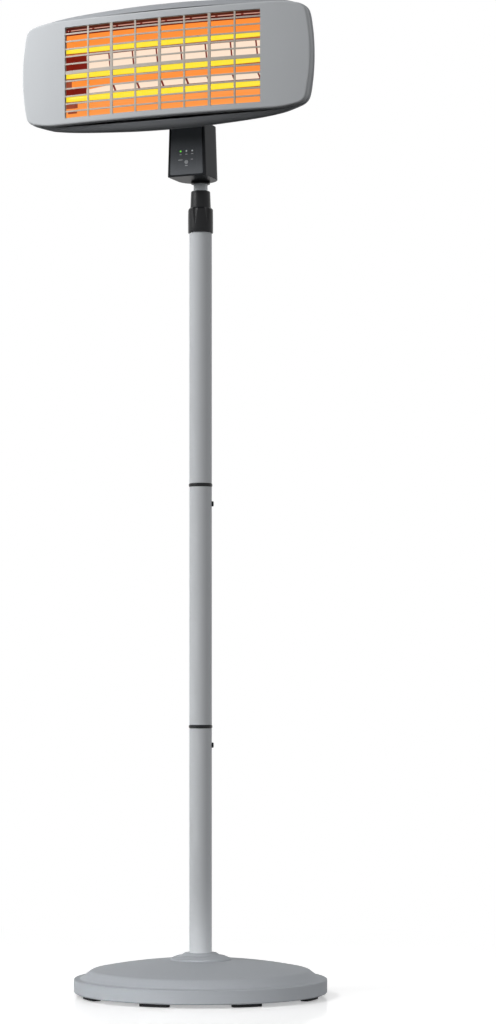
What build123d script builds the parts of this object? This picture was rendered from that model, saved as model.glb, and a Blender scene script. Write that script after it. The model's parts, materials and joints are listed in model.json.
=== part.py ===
from build123d import *
import os
from math import asin, cos, degrees, hypot, pi, radians, sin, sqrt

os.makedirs("parts", exist_ok=True)

# Infrared patio heater tower: a weighted round base, a three-piece pole with a telescopic mast, a
# control box and a tilting three-tube heater head.
# Millimetres and degrees.  +Z is up, the heater faces -Y, and the origin is on the floor on the
# pole axis.  "ahead" is a distance in front of the pole axis, so y = -ahead.

# ------------------------------------------------------------------ clearances
slide_gap = 0.1          # radial play of a sliding or turning fit
snug_gap = 0.05          # radial play of a pin or screw in its own hole
seat_gap = 0.3           # play between a part and the pocket that it drops into

# ------------------------------------------------------------------ base
base_radius = 225.0
foot_height = 6.0        # gap between the rim and the floor
rim_height = 25.0
rim_top_round = 2.0
rim_bottom_round = 3.0
rim_ledge = 12.0         # from the rim in to the dome's foot
dome_foot_round = 9.0
dome_slope_run = 19.0    # from the dome's foot in to its shoulder
dome_slope_rise = 15.0
dome_shoulder_round = 18.0
dome_crown_rise = 18.0   # from the shoulder up to the flat crown
dome_flat_radius = 54.0
cover_wall = 1.5
rim_lip = 8.0            # inward lip at the foot of the rim

base_plate_thickness = 1.2
ballast_inset = 85.0     # from the rim in to the ballast's edge
ballast_height = 9.0
ballast_boss_radius = 52.0
foot_count = 8
foot_pad_inset = 17.5    # from the rim in to the middle of a pad
foot_pad_width = 15.0
foot_pad_length = 53.0
foot_pad_round = 3.0
foot_plug_radius = 3.0
foot_plug_height = 4.0
base_screw_count = 6
base_screw_inset = 20.0  # from the ballast's edge in to the screws
base_screw_radius = 2.0
base_screw_length = 9.0

socket_flange_radius = 48.0
socket_flange_thickness = 4.0
socket_length = 70.0
socket_wall = 2.5
socket_bolt_count = 3
socket_bolt_circle = 34.0
socket_bolt_radius = 4.0
socket_bolt_counterbore = 9.0
socket_bolt_seat = 22.0  # height at which the bolt heads seat in the ballast
foot_collar_radius = 54.0
foot_collar_edge = 2.5
foot_collar_step_radius = 43.0
foot_collar_step_height = 7.0
foot_collar_top_radius = 28.0
foot_collar_height = 12.5
foot_collar_wall = 2.0

# ------------------------------------------------------------------ pole
pole_diameter = 40.0
pole_wall = 1.5
lower_pole_length = 410.0
middle_pole_length = 429.0
upper_pole_length = 471.0
joint_ring_height = 6.5
joint_ring_diameter = 42.0
joint_ring_round = 2.4
joint_sleeve_wall = 2.0
joint_sleeve_down = 85.0
joint_sleeve_up = 54.0
snap_drop = 33.0         # the snap button's height below its ring
snap_angle = 22.5        # turned from +X towards the back
snap_radius = 4.7
snap_proud = 3.3
snap_flange_radius = 6.0
snap_flange_thickness = 1.6
snap_strip_width = 8.0
snap_strip_thickness = 0.8
snap_strip_drop = 36.0

# ------------------------------------------------------------------ twist lock
collar_overlap = 23.0    # how far the collar reaches down over the pole
collar_grip_height = 44.0
collar_grip_diameter = 44.5
collar_chamfer = 2.6
collar_roof = 2.0
collar_flute_count = 6
collar_flute_angle = -7.5
collar_flute_radius = 5.5
collar_flute_depth = 1.25
collar_flute_length = 30.0
nose_height = 30.0
nose_base_diameter = 36.5
nose_top_diameter = 33.4
nose_slit_count = 4
nose_slit_width = 1.2
nose_slit_length = 22.0
collet_flange_thickness = 3.0
collet_flange_overhang = 0.6
collet_spigot_length = 30.0
cam_seat_diameter = 35.0
cam_ring_thickness = 2.4
cam_ring_slit = 3.0

# ------------------------------------------------------------------ mast
mast_diameter = 25.0
mast_wall = 1.2
mast_hidden = 409.0      # length of mast down inside the pole, run in
mast_showing = 13.0      # between the nose and the bush above it, run in
guide_bush_height = 24.7
mast_bead_height = 3.0
mast_bead_radius = 15.0
end_cap_thickness = 3.0
end_cap_plug = 12.0
top_bush_flange_diameter = 33.6
top_bush_flange = 4.0
top_bush_diameter = 30.0
top_bush_length = 33.0

# ------------------------------------------------------------------ control box
box_height = 94.0
box_bottom_width = 73.0
box_top_width = 67.0
box_front = 65.5         # ahead of the pole axis
box_round_centre = 17.0  # centre of the round back, ahead of the pole axis
box_corner_round = 3.5
box_edge_round = 1.2
box_wall = 2.5
box_floor = 3.0
box_roof = 8.0
box_front_wall = 5.0
panel_margin = 5.0
panel_thickness = 2.5
panel_round = 3.0
panel_gap = 0.35
panel_lift = 3.0
panel_drop = 5.0         # from the box top down to the panel
panel_ledge = 3.0
mast_socket_wall = 3.4
mast_socket_height = 40.0
mast_depth_in_box = 36.0
mast_screw_radius = 2.5
mast_screw_height = 18.0
mast_screw_head_radius = 4.2
mast_screw_head = 3.0

overlay_half_width = 20.0
overlay_bottom = 14.0    # above the box bottom
overlay_height = 34.0
overlay_thickness = 0.4
overlay_round = 2.0
led_height = 44.0        # above the box bottom
led_pitch = 11.0
led_radius = 1.5
led_proud = 0.3
button_height = 24.5     # above the box bottom
button_radius = 3.4
button_proud = 0.9
button_flange_radius = 4.6
button_flange = 1.0
button_travel = 0.8
button_stem_radius = 2.0
switch_size = 6.0
switch_height = 1.5

board_thickness = 1.6
board_half_width = 25.0
board_bottom = 11.0
board_height = 72.0
board_standoff = 5.9
board_post_radius = 2.8
board_post_inset = 4.0
board_screw_radius = 1.2
relay_width = 15.0
relay_depth = 16.0
relay_height = 19.0
relay_count = 3
relay_lift = 44.0
terminal_width = 34.0
terminal_depth = 16.0
terminal_height = 13.0
terminal_ways = 3
terminal_screw_radius = 2.6
tip_switch_size = 12.0
tip_switch_height = 18.0
gland_angle = 135.0      # direction of the mains gland, from +X
gland_lift = 16.0
gland_bore_radius = 3.7
gland_body_radius = 6.5
gland_flange_radius = 9.0
gland_flange = 3.0
gland_nose = 9.0
gland_nose_radius = 5.6
gland_boss_radius = 11.0
gland_boss_proud = 1.5

# ------------------------------------------------------------------ tilt hinge
pivot_ahead = 40.0
pivot_above_box = 18.0
knuckle_radius = 11.0
knuckle_width = 24.0
hinge_base_width = 50.0
hinge_base_depth = 34.0
hinge_base_thickness = 4.0
hinge_screw_across = 20.0
hinge_screw_along = 12.0
hinge_screw_radius = 2.0
hinge_screw_length = 7.0
pivot_radius = 4.0
washer_radius = 8.5
washer_thickness = 0.8
washer_play = 0.1
ear_thickness = 2.5
ear_radius = 12.0
bracket_half_width = 40.0
bracket_bottom = -45.0   # from the head's centre height
bracket_height = 86.0
bracket_thickness = 2.5
bracket_screw_across = 28.0
bracket_screw_edge = 18.0
bracket_screw_radius = 2.5
bracket_screw_length = 11.0
ear_root_bottom = 4.0
ear_root_height = 66.0
pivot_hex = 6.5
pivot_hex_height = 5.0

# ------------------------------------------------------------------ heater head
head_above_box = 80.25   # from the box top to the head's centre
head_width = 541.0
head_height = 182.5
head_end_radius = 330.0  # the two ends bow outwards
head_fall_run = 69.0     # the top and bottom edges start to fall this far from the ends
head_fall_radius = 190.0
head_corner_round = 20.0
head_front = 186.0       # ahead of the pole axis, at the middle of the face
face_radius = 2000.0     # the face is bowed in plan
bezel_depth = 12.0
bezel_edge_round = 4.0
bezel_wall = 2.0
window_end_margin = 87.5 # from the window to the head's ends
window_edge_margin = 11.85
window_drop = 0.65       # window centre below the head's centre
guard_rows = 12
guard_columns = 8
guard_wire = 2.7
guard_middle_wire = 6.0
guard_bar = 3.0
guard_wide_bar = 5.0
guard_bar_depth = 2.0
guard_wire_depth = 1.6
guard_frame = 3.8
guard_foot = 1.2         # height of the foot that joins each bar's end to the frame
guard_setback = 0.4
guard_edge_gap = 0.2     # between the window's edge and the bars and wires

shell_depth = 88.0       # behind the bezel, at the middle
shell_end_depth = 8.0    # behind the bezel, at the two ends
shell_bulge = 15.8       # swell above and below the bezel, at the middle
shell_crown = 35.0       # rise of the arc that trims the shell's corners
shell_wall = 1.5
shell_squareness = 3.5   # exponent of the cross-section's superellipse
shell_bulge_reach = 0.6  # share of the depth over which the swell fades out
shell_lead_in = 0.08     # share of the depth by which the curve runs on under the bezel
shell_join = 0.6         # shadow gap between bezel and shell
shell_lip = 4.0          # the shell's lip reaches this far into the bezel
lip_gap = 0.2
vent_width = 4.0
vent_height = 34.0
vent_pitch = 14.0
vent_first = 64.0
vent_count = 6
vent_offset = 38.0
pad_thickness = 6.5
pad_proud = 1.5
shell_screw_inset = 31.0 # from the head's ends in to the screws
shell_screw_rise = 50.0
shell_screw_length = 24.0
shell_screw_radius = 2.0
shell_screw_head_radius = 4.0
shell_screw_head = 2.6
shell_screw_setback = 50.5  # behind the middle of the face
shell_boss_radius = 6.5
shell_boss_length = 7.0
bezel_boss_radius = 4.5

tube_setback = 24.0      # the tubes' axes behind the middle of the face
tube_radius = 6.0
tube_wall = 1.1
tube_overhang = 22.0     # each tube runs this far past the window
tube_rises = (39.5, -4.3, -44.8)  # tube axes, from the head's centre height
coil_radius = 2.6
cap_radius = 8.0
cap_overlap = 9.0        # the tube's end lies this deep in its cap
cap_length = 26.0
reflector_overhang = 4.5 # the reflector runs this far past the window
reflector_sheet = 0.8
ridge_setback = 53.0
trough_setback = 63.0
ridge_one = (33.0, 13.0)  # upper and lower edge of the ridge below the first tube
ridge_two = (-19.0, -30.0)
roof_rise = 80.5
roof_setback = 34.0
roof_slope_foot = 49.5
trough_two = (-0.5, -8.5)
trough_three = (-41.0, -49.0)
floor_rise = -80.5
end_plate_gap = 0.5      # between the reflector's end and the plate
end_plate_sheet = 1.0
end_plate_hole_gap = 0.6
channel_depth = 18.0
channel_half_height = 68.0
channel_setback = 16.8
channel_width = 21.2
channel_sheet = 1.2
channel_foot = 14.0
channel_foot_height = 14.0
channel_screw_offset = 7.0  # beyond the channel's wall
channel_screw_rise = 61.0
channel_screw_radius = 1.8
channel_screw_length = 3.0
channel_post_radius = 4.0
shield_setback = 76.0
shield_half_width = 140.0
shield_half_height = 62.0
shield_sheet = 0.8
shield_post_radius = 4.0
shield_post_across = 110.0
cutout_radius = 8.0
cutout_height = 6.0
cutout_across = 62.0
block_width = 44.0
block_depth = 12.0
block_height = 16.0
block_across = -62.0

# ------------------------------------------------------------------ worked-out places
rim_top = foot_height + rim_height
dome_foot_radius = base_radius - rim_ledge
dome_shoulder_radius = dome_foot_radius - dome_slope_run
dome_shoulder_height = rim_top + dome_slope_rise
dome_crown_height = dome_shoulder_height + dome_crown_rise
foot_pad_radius = base_radius - foot_pad_inset
ballast_radius = base_radius - ballast_inset
base_screw_circle = ballast_radius - base_screw_inset
plate_bottom = foot_height + cover_wall
plate_top = plate_bottom + base_plate_thickness
crown_inside = dome_crown_height - cover_wall
pole_outer = pole_diameter / 2
pole_inner = pole_outer - pole_wall
sleeve_outer = pole_inner - slide_gap
pole_foot = dome_crown_height + socket_flange_thickness
lower_joint_height = pole_foot + lower_pole_length
upper_joint_height = lower_joint_height + middle_pole_length
pole_top_height = upper_joint_height + upper_pole_length
collar_bottom_height = pole_top_height - collar_overlap
collar_top = collar_bottom_height + collar_grip_height
nose_top = collar_top + nose_height
mast_radius = mast_diameter / 2
mast_bore = mast_radius + slide_gap
mast_bottom_height = pole_top_height - mast_hidden
box_bottom_height = nose_top + mast_showing + top_bush_flange
mast_top_height = box_bottom_height + mast_depth_in_box
box_top_height = box_bottom_height + box_height
pivot_height = box_top_height + pivot_above_box
head_centre_height = box_top_height + head_above_box
half_head = head_width / 2
half_level = half_head - head_fall_run
head_back = head_front - bezel_depth - shell_depth
window_width = head_width - 2 * window_end_margin
window_height = head_height - 2 * window_edge_margin
window_centre = head_centre_height - window_drop
panel_back = box_front - panel_thickness
board_front = panel_back - board_standoff
board_back = board_front - board_thickness
bracket_seat = head_back - pad_proud
ear_inner = knuckle_width / 2 + washer_thickness + 2 * washer_play
ear_outer = ear_inner + ear_thickness
guard_back = bezel_wall + guard_bar_depth + 0.1
shell_screw_across = half_head - shell_screw_inset
shell_screw_seat = head_front - shell_screw_setback
tube_ahead = head_front - tube_setback
tube_half_length = window_width / 2 + tube_overhang
cap_start = tube_half_length - cap_overlap
reflector_half_length = window_width / 2 + reflector_overhang
ridge_ahead = head_front - ridge_setback
trough_ahead = head_front - trough_setback
roof_ahead = head_front - roof_setback
shield_ahead = head_front - shield_setback
end_plate_half_length = reflector_half_length + end_plate_gap
channel_front = head_front - channel_setback
channel_back = channel_front - channel_width
channel_outer = end_plate_half_length + end_plate_sheet + channel_depth
channel_screw_across = channel_outer + channel_screw_offset


# ------------------------------------------------------------------ helpers
def slab(x0, x1, y0, y1, z0, z1):
    """A block between three pairs of planes."""
    size = Box(abs(x1 - x0), abs(y1 - y0), abs(z1 - z0))
    return Pos((x0 + x1) / 2, (y0 + y1) / 2, (z0 + z1) / 2) * size


def upright(radius, z0, z1, x=0, y=0):
    """A cylinder that stands along Z."""
    return Pos(x, y, (z0 + z1) / 2) * Cylinder(radius, abs(z1 - z0))


def across(radius, x0, x1, y=0, z=0):
    """A cylinder that lies along X."""
    return Pos((x0 + x1) / 2, y, z) * Rot(0, 90, 0) * Cylinder(radius, abs(x1 - x0))


def fore_aft(radius, ahead0, ahead1, x=0, z=0):
    """A cylinder that lies along Y, between two distances ahead of the pole axis."""
    return Pos(x, -(ahead0 + ahead1) / 2, z) * Rot(90, 0, 0) * Cylinder(radius, abs(ahead1 - ahead0))


def tube(outer, inner, z0, z1):
    """A plain round tube on the pole axis."""
    return upright(outer, z0, z1) - upright(inner, z0 - 1, z1 + 1)


def turned(*points):
    """A solid of revolution about the pole axis, from corners given as (radius, height)."""
    return revolve(Plane.XZ * make_face(Polyline(*points, close=True)), Axis.Z, 360)


def around(shape, count, start=0.0):
    """Copies of a shape spaced evenly about the pole axis."""
    return [Rot(0, 0, start + 360 * k / count) * shape for k in range(count)]


def rounded_at(face, corners):
    """Rounds each named corner (x, y, radius) of a flat outline."""
    for x, y, radius in corners:
        corner = min(face.vertices(), key=lambda v: hypot(v.X - x, v.Y - y))
        face = fillet(corner, radius)
    return face


def pan_screw(shank_radius, length, head_radius, head_height):
    """A screw along +Z: its head below the seat at z = 0 and its shank above it."""
    head = upright(head_radius, -head_height, 0)
    head = chamfer(head.edges().group_by(Axis.Z)[0], head_height * 0.4)
    return head + upright(shank_radius, 0, length)


def hex_prism(radius, x0, x1, y, z):
    """A hexagonal head along X, from x0 to x1."""
    outline = Pos(x0, y, z) * Rot(0, 90, 0) * RegularPolygon(radius, 6)
    return extrude(outline, x1 - x0)


def save(name, *shapes):
    """Writes one named sub-part, which may hold several separate solids."""
    solids = [s for shape in shapes for s in shape.solids()]
    whole = solids[0] if len(solids) == 1 else Compound(children=solids)
    export_step(whole, f"parts/{name}.step")
    print(name, len(solids), round(sum(s.volume for s in solids)))


# ------------------------------------------------------------------ base
def dome_rise(radius):
    """Height of the dome's skin between its flat crown and its shoulder."""
    share = (radius**2 - dome_flat_radius**2) / (dome_shoulder_radius**2 - dome_flat_radius**2)
    return dome_crown_height - share * (dome_crown_height - dome_shoulder_height)


def dome_body(inset):
    """The base cover's outline turned into a solid, drawn in by the given sheet thickness."""
    edge = base_radius - inset
    low = foot_height + inset
    top = rim_top - inset
    foot = dome_foot_radius - 0.4 * inset
    shoulder = dome_shoulder_radius - 0.4 * inset
    shoulder_top = dome_shoulder_height - inset
    crown = dome_crown_height - inset
    middle = (dome_flat_radius + shoulder) / 2
    outline = Polyline((0, crown), (0, low), (edge, low), (edge, top), (foot, top), (shoulder, shoulder_top))
    outline += ThreePointArc(
        (shoulder, shoulder_top), (middle, dome_rise(middle) - inset), (dome_flat_radius, crown)
    )
    outline += Line((dome_flat_radius, crown), (0, crown))
    face = rounded_at(
        make_face(outline),
        [
            (edge, low, rim_bottom_round - inset),
            (edge, top, rim_top_round - inset),
            (foot, top, dome_foot_round + inset),
            (shoulder, shoulder_top, dome_shoulder_round - inset),
        ],
    )
    return revolve(Plane.XZ * face, Axis.Z, 360)


def socket_bolt_places():
    """Where the pole socket's bolts stand."""
    turn = [radians(90 + 360 * k / socket_bolt_count) for k in range(socket_bolt_count)]
    return [(socket_bolt_circle * cos(a), socket_bolt_circle * sin(a)) for a in turn]


def make_base_cover():
    cover = dome_body(0) - dome_body(cover_wall)
    cover -= upright(base_radius - rim_lip, foot_height - 1, plate_bottom + 1)
    for x, y in socket_bolt_places():
        cover -= upright(socket_bolt_radius + slide_gap, crown_inside - 1, dome_crown_height + 1, x, y)
    return cover


def make_base_plate():
    radius = base_radius - rim_bottom_round - snug_gap
    plate = upright(radius, plate_bottom, plate_top)
    for x, y in socket_bolt_places():
        plate -= upright(socket_bolt_counterbore, plate_bottom - 1, plate_top + 1, x, y)
    screw_hole = upright(base_screw_radius + snug_gap, plate_bottom - 1, plate_top + 1, base_screw_circle)
    plug_hole = upright(foot_plug_radius, plate_bottom - 1, plate_top + 1, 0, -foot_pad_radius)
    for hole in around(screw_hole, base_screw_count) + around(plug_hole, foot_count):
        plate -= hole
    return plate


def make_ballast():
    low = plate_top
    high = plate_top + ballast_height
    boss_foot = ballast_boss_radius + 14
    body = turned(
        (0, low),
        (ballast_radius, low),
        (ballast_radius, high - 4),
        (ballast_radius - 4, high),
        (boss_foot, high),
        (ballast_boss_radius, crown_inside - 10),
        (ballast_boss_radius - 8, crown_inside),
        (0, crown_inside),
    )
    for x, y in socket_bolt_places():
        body -= upright(socket_bolt_counterbore, low - 1, socket_bolt_seat, x, y)
        body -= upright(socket_bolt_radius + slide_gap, low, dome_crown_height, x, y)
    hole = upright(base_screw_radius + snug_gap, low - 1, low + base_screw_length, base_screw_circle)
    for cut in around(hole, base_screw_count):
        body -= cut
    return body


def make_feet():
    """Rubber pads on the base plate, each a short piece of a ring with a plug through the plate."""
    outer = foot_pad_radius + foot_pad_width / 2
    ring = Circle(outer) - Circle(outer - foot_pad_width)
    outline = ring & (Pos(0, -foot_pad_radius) * Rectangle(foot_pad_length, 3 * foot_pad_width))
    outline = fillet(outline.vertices(), foot_pad_round)
    pad = extrude(outline, plate_bottom)
    pad = chamfer(pad.edges().group_by(Axis.Z)[0], 0.8)
    plug_top = plate_bottom + foot_plug_height
    pad += upright(foot_plug_radius - snug_gap, plate_bottom, plug_top, 0, -foot_pad_radius)
    return around(pad, foot_count)


def make_pole_socket():
    socket = upright(socket_flange_radius, dome_crown_height, pole_foot)
    socket += tube(sleeve_outer, sleeve_outer - socket_wall, pole_foot, pole_foot + socket_length)
    socket -= upright(sleeve_outer - socket_wall, dome_crown_height - 1, pole_foot + 1)
    for x, y in socket_bolt_places():
        socket -= upright(socket_bolt_radius + snug_gap, dome_crown_height - 1, pole_foot + 1, x, y)
    return socket


def make_foot_collar():
    """Two-step moulded cover round the foot of the pole."""
    base = dome_crown_height
    bore = pole_outer + seat_gap
    step = base + foot_collar_step_height
    top = base + foot_collar_height
    outline = Polyline(
        (bore, base),
        (foot_collar_radius, base),
        (foot_collar_radius, base + foot_collar_edge),
        (foot_collar_step_radius, step),
        (foot_collar_top_radius + 7, step + 1.2),
        (foot_collar_top_radius, top),
        (bore, top),
        close=True,
    )
    face = rounded_at(
        make_face(outline),
        [
            (foot_collar_radius, base + foot_collar_edge, 1.8),
            (foot_collar_step_radius, step, 3.0),
            (foot_collar_top_radius + 7, step + 1.2, 3.0),
            (foot_collar_top_radius, top, 1.6),
        ],
    )
    collar = revolve(Plane.XZ * face, Axis.Z, 360)
    hollow = upright(socket_flange_radius + seat_gap, base - 1, pole_foot + snug_gap)
    well = upright(foot_collar_top_radius - foot_collar_wall, pole_foot - 1, top - foot_collar_wall)
    return collar - hollow - well


# ------------------------------------------------------------------ pole
def snap_hole(height):
    """Round hole for a snap button, through the near wall only."""
    pin = across(snap_radius + slide_gap, 0, pole_outer + 5, 0, height)
    return Rot(0, 0, snap_angle) * pin


def make_pole(low, high, snap_height=None):
    body = tube(pole_outer, pole_inner, low, high)
    return body - snap_hole(snap_height) if snap_height else body


def make_joint_ring(height):
    """Black band that caps the joint of two pole sections."""
    low = height - joint_ring_height / 2
    ring = tube(joint_ring_diameter / 2, pole_inner, low, low + joint_ring_height)
    rims = ring.edges().filter_by(GeomType.CIRCLE).sort_by(SortBy.RADIUS)[-2:]
    return fillet(rims, joint_ring_round)


def make_joint_sleeve(height):
    inner = sleeve_outer - joint_sleeve_wall
    sleeve = tube(sleeve_outer, inner, height - joint_sleeve_down, height + joint_sleeve_up)
    return sleeve - snap_hole(height - snap_drop)


def snap_seat():
    """Distance from the pole axis at which the button's flange rests inside the sleeve."""
    inner = sleeve_outer - joint_sleeve_wall
    return sqrt(inner**2 - snap_flange_radius**2) - seat_gap


def make_snap_button(height):
    tip = pole_outer + snap_proud
    stud = across(snap_radius, snap_seat(), tip, 0, height)
    stud = fillet(stud.edges().group_by(Axis.X)[-1], 1.6)
    flange = across(snap_flange_radius, snap_seat() - snap_flange_thickness, snap_seat(), 0, height)
    return Rot(0, 0, snap_angle) * (stud + flange)


def make_snap_spring(height):
    """V-shaped strip that pushes the button out and rests on the far wall of the sleeve."""
    near = snap_seat() - snap_flange_thickness
    far = -(sleeve_outer - joint_sleeve_wall) + 0.6
    thick = snap_strip_thickness
    outline = Polyline(
        (near, height + 5),
        (near - thick, height + 5),
        (-1, height - snap_strip_drop + 2.2 * thick),
        (far + thick, height + 4),
        (far, height + 4),
        (-1, height - snap_strip_drop),
        (near, height - 5),
        close=True,
    )
    strip = extrude(Plane.XZ * make_face(outline), snap_strip_width / 2, both=True)
    return Rot(0, 0, snap_angle) * strip


# ------------------------------------------------------------------ twist lock
def make_collet_sleeve():
    """Moulded liner of the pole top, with the slit nose that grips the mast."""
    flange_radius = pole_outer + collet_flange_overhang
    flange_top = pole_top_height + collet_flange_thickness
    body = turned(
        (mast_bore, pole_top_height - collet_spigot_length),
        (sleeve_outer, pole_top_height - collet_spigot_length),
        (sleeve_outer, pole_top_height),
        (flange_radius, pole_top_height),
        (flange_radius, flange_top),
        (cam_seat_diameter / 2, flange_top),
        (cam_seat_diameter / 2, collar_top - collar_roof),
        (nose_base_diameter / 2, collar_top - collar_roof),
        (nose_base_diameter / 2, collar_top + 1),
        (nose_top_diameter / 2 + 0.4, nose_top - 1),
        (nose_top_diameter / 2 - 0.8, nose_top),
        (mast_bore, nose_top),
    )
    half_slit = nose_slit_width / 2
    slit = slab(0, nose_base_diameter, -half_slit, half_slit, nose_top - nose_slit_length, nose_top + 1)
    for cut in around(slit, nose_slit_count, 45):
        body -= cut
    return body


def make_twist_collar():
    """Grip that is turned to lock the mast, with tapering flutes cut from its top edge."""
    grip = collar_grip_diameter / 2
    flange_low = pole_top_height - 2
    flange_high = pole_top_height + collet_flange_thickness + 2
    cam_bore = cam_seat_diameter / 2 + cam_ring_thickness + 2 * snug_gap
    body = turned(
        (pole_outer + seat_gap, collar_bottom_height),
        (grip - 0.8, collar_bottom_height),
        (grip, collar_bottom_height + 0.8),
        (grip, collar_top - collar_chamfer),
        (grip - collar_chamfer, collar_top),
        (nose_base_diameter / 2 + seat_gap, collar_top),
        (nose_base_diameter / 2 + seat_gap, collar_top - collar_roof),
        (cam_bore, collar_top - collar_roof),
        (cam_bore, flange_high),
        (pole_outer + collet_flange_overhang + seat_gap, flange_high),
        (pole_outer + collet_flange_overhang + seat_gap, flange_low),
        (pole_outer + seat_gap, flange_low),
    )
    lean = degrees(asin(collar_flute_depth / collar_flute_length))
    cutter = Cylinder(collar_flute_radius, 2 * collar_flute_length)
    cutter = Pos(0, -(grip + collar_flute_radius), 0) * Rot(-lean, 0, 0) * cutter
    cutter = Pos(0, 0, collar_top - collar_flute_length) * cutter
    for cut in around(cutter, collar_flute_count, collar_flute_angle):
        body -= cut
    return body


def make_cam_ring():
    """Split ring inside the collar that squeezes the collet as the collar turns."""
    inner = cam_seat_diameter / 2 + snug_gap
    low = pole_top_height + collet_flange_thickness + 2
    ring = tube(inner + cam_ring_thickness, inner, low, collar_top - collar_roof - snug_gap)
    return ring - slab(0, 2 * inner, -cam_ring_slit / 2, cam_ring_slit / 2, low - 1, collar_top)


# ------------------------------------------------------------------ mast
def mast_screw_hole(radius):
    """Radial hole at the back of the mast's top end."""
    return fore_aft(radius, 0, -(box_bottom_width), 0, box_bottom_height + mast_screw_height)


def make_inner_tube():
    bead_low = mast_bottom_height + guide_bush_height + 0.3
    body = tube(mast_radius, mast_radius - mast_wall, mast_bottom_height, mast_top_height)
    body += tube(mast_bead_radius, mast_radius - 0.2, bead_low, bead_low + mast_bead_height)
    return body - mast_screw_hole(mast_screw_radius + snug_gap)


def make_guide_bush():
    """Bush that slides in the pole, and in which the foot of the mast can turn."""
    body = tube(sleeve_outer, mast_bore, mast_bottom_height, mast_bottom_height + guide_bush_height)
    groove = tube(sleeve_outer + 1, sleeve_outer - 0.8, mast_bottom_height + 9, mast_bottom_height + 15)
    return body - groove


def make_end_cap():
    cap = upright(mast_bead_radius, mast_bottom_height - end_cap_thickness, mast_bottom_height)
    cap = chamfer(cap.edges().group_by(Axis.Z)[0], 1.0)
    plug = mast_radius - mast_wall - snug_gap
    return cap + tube(plug, plug - 2, mast_bottom_height, mast_bottom_height + end_cap_plug)


def make_top_bush():
    """Flanged bush that closes the box round the mast."""
    flange_low = box_bottom_height - top_bush_flange
    body = upright(top_bush_flange_diameter / 2, flange_low, box_bottom_height)
    body = fillet(body.edges().group_by(Axis.Z)[0], 0.8)
    body += upright(top_bush_diameter / 2, box_bottom_height, box_bottom_height + top_bush_length)
    body -= upright(mast_radius + snug_gap, flange_low - 1, box_top_height)
    return body - mast_screw_hole(mast_screw_radius + snug_gap)


# ------------------------------------------------------------------ control box
def box_half_width(height):
    """Half the box's width at a height above its bottom."""
    return (box_bottom_width + (box_top_width - box_bottom_width) * height / box_height) / 2


def box_outline(half_width, front, corner):
    """Plan outline: a flat front, straight sides and a round back."""
    back = -box_round_centre
    outline = Polyline((-half_width, back), (-half_width, -front), (half_width, -front), (half_width, back))
    outline += ThreePointArc((half_width, back), (0, back + half_width), (-half_width, back))
    face = make_face(outline)
    if corner:
        face = rounded_at(face, [(-half_width, -front, corner), (half_width, -front, corner)])
    return face


def box_body(inset, front_inset, low, high, corner):
    """The tapering box between two heights above its bottom."""
    ends = []
    for height in (low, high):
        outline = box_outline(box_half_width(height) - inset, box_front - front_inset, corner)
        ends.append(Pos(0, 0, box_bottom_height + height) * outline)
    return loft(ends)


def panel_solid(gap, ahead0, ahead1, inset=0.0, corner=panel_round):
    """The tapering front panel, grown by a gap on every side, between two planes."""
    low = panel_lift - gap + inset
    high = box_height - panel_drop + gap - inset
    wide = box_half_width(low) - panel_margin + gap - inset
    narrow = box_half_width(high) - panel_margin + gap - inset
    base = box_bottom_height
    corners = [(-wide, base + low), (wide, base + low), (narrow, base + high), (-narrow, base + high)]
    face = fillet(make_face(Polyline(*corners, close=True)).vertices(), corner)
    return extrude(Pos(0, -ahead0, 0) * (Plane.XZ * face), ahead1 - ahead0)


def gland_place(distance):
    """A place on the mains gland's axis, measured from the centre of the round back."""
    turn = radians(gland_angle)
    return (distance * cos(turn), -box_round_centre + distance * sin(turn), box_bottom_height + gland_lift)


def along_gland(radius, start, end):
    """A cylinder on the gland's axis between two distances from the centre of the round back."""
    x, y, z = gland_place((start + end) / 2)
    return Pos(x, y, z) * Rot(0, 0, gland_angle) * Rot(0, 90, 0) * Cylinder(radius, end - start)


def gland_seat():
    """Distance of the gland's flat seat from the centre of the round back."""
    return box_half_width(gland_lift) + gland_boss_proud


def led_places():
    """The three indicator lamps, left to right, as (x, z)."""
    return [(led_pitch * k, box_bottom_height + led_height) for k in (-1, 0, 1)]


def board_post_places():
    """Corner posts of the circuit board, as (x, z)."""
    low = box_bottom_height + board_bottom + board_post_inset
    high = box_bottom_height + board_bottom + board_height - board_post_inset
    x = board_half_width - board_post_inset
    return [(s * x, z) for s in (-1, 1) for z in (low, high)]


def hinge_screw_places():
    """Screws that hold the hinge block on the box, as (x, y)."""
    return [
        (sx * hinge_screw_across, -pivot_ahead + sy * hinge_screw_along) for sx in (-1, 1) for sy in (-1, 1)
    ]


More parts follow.
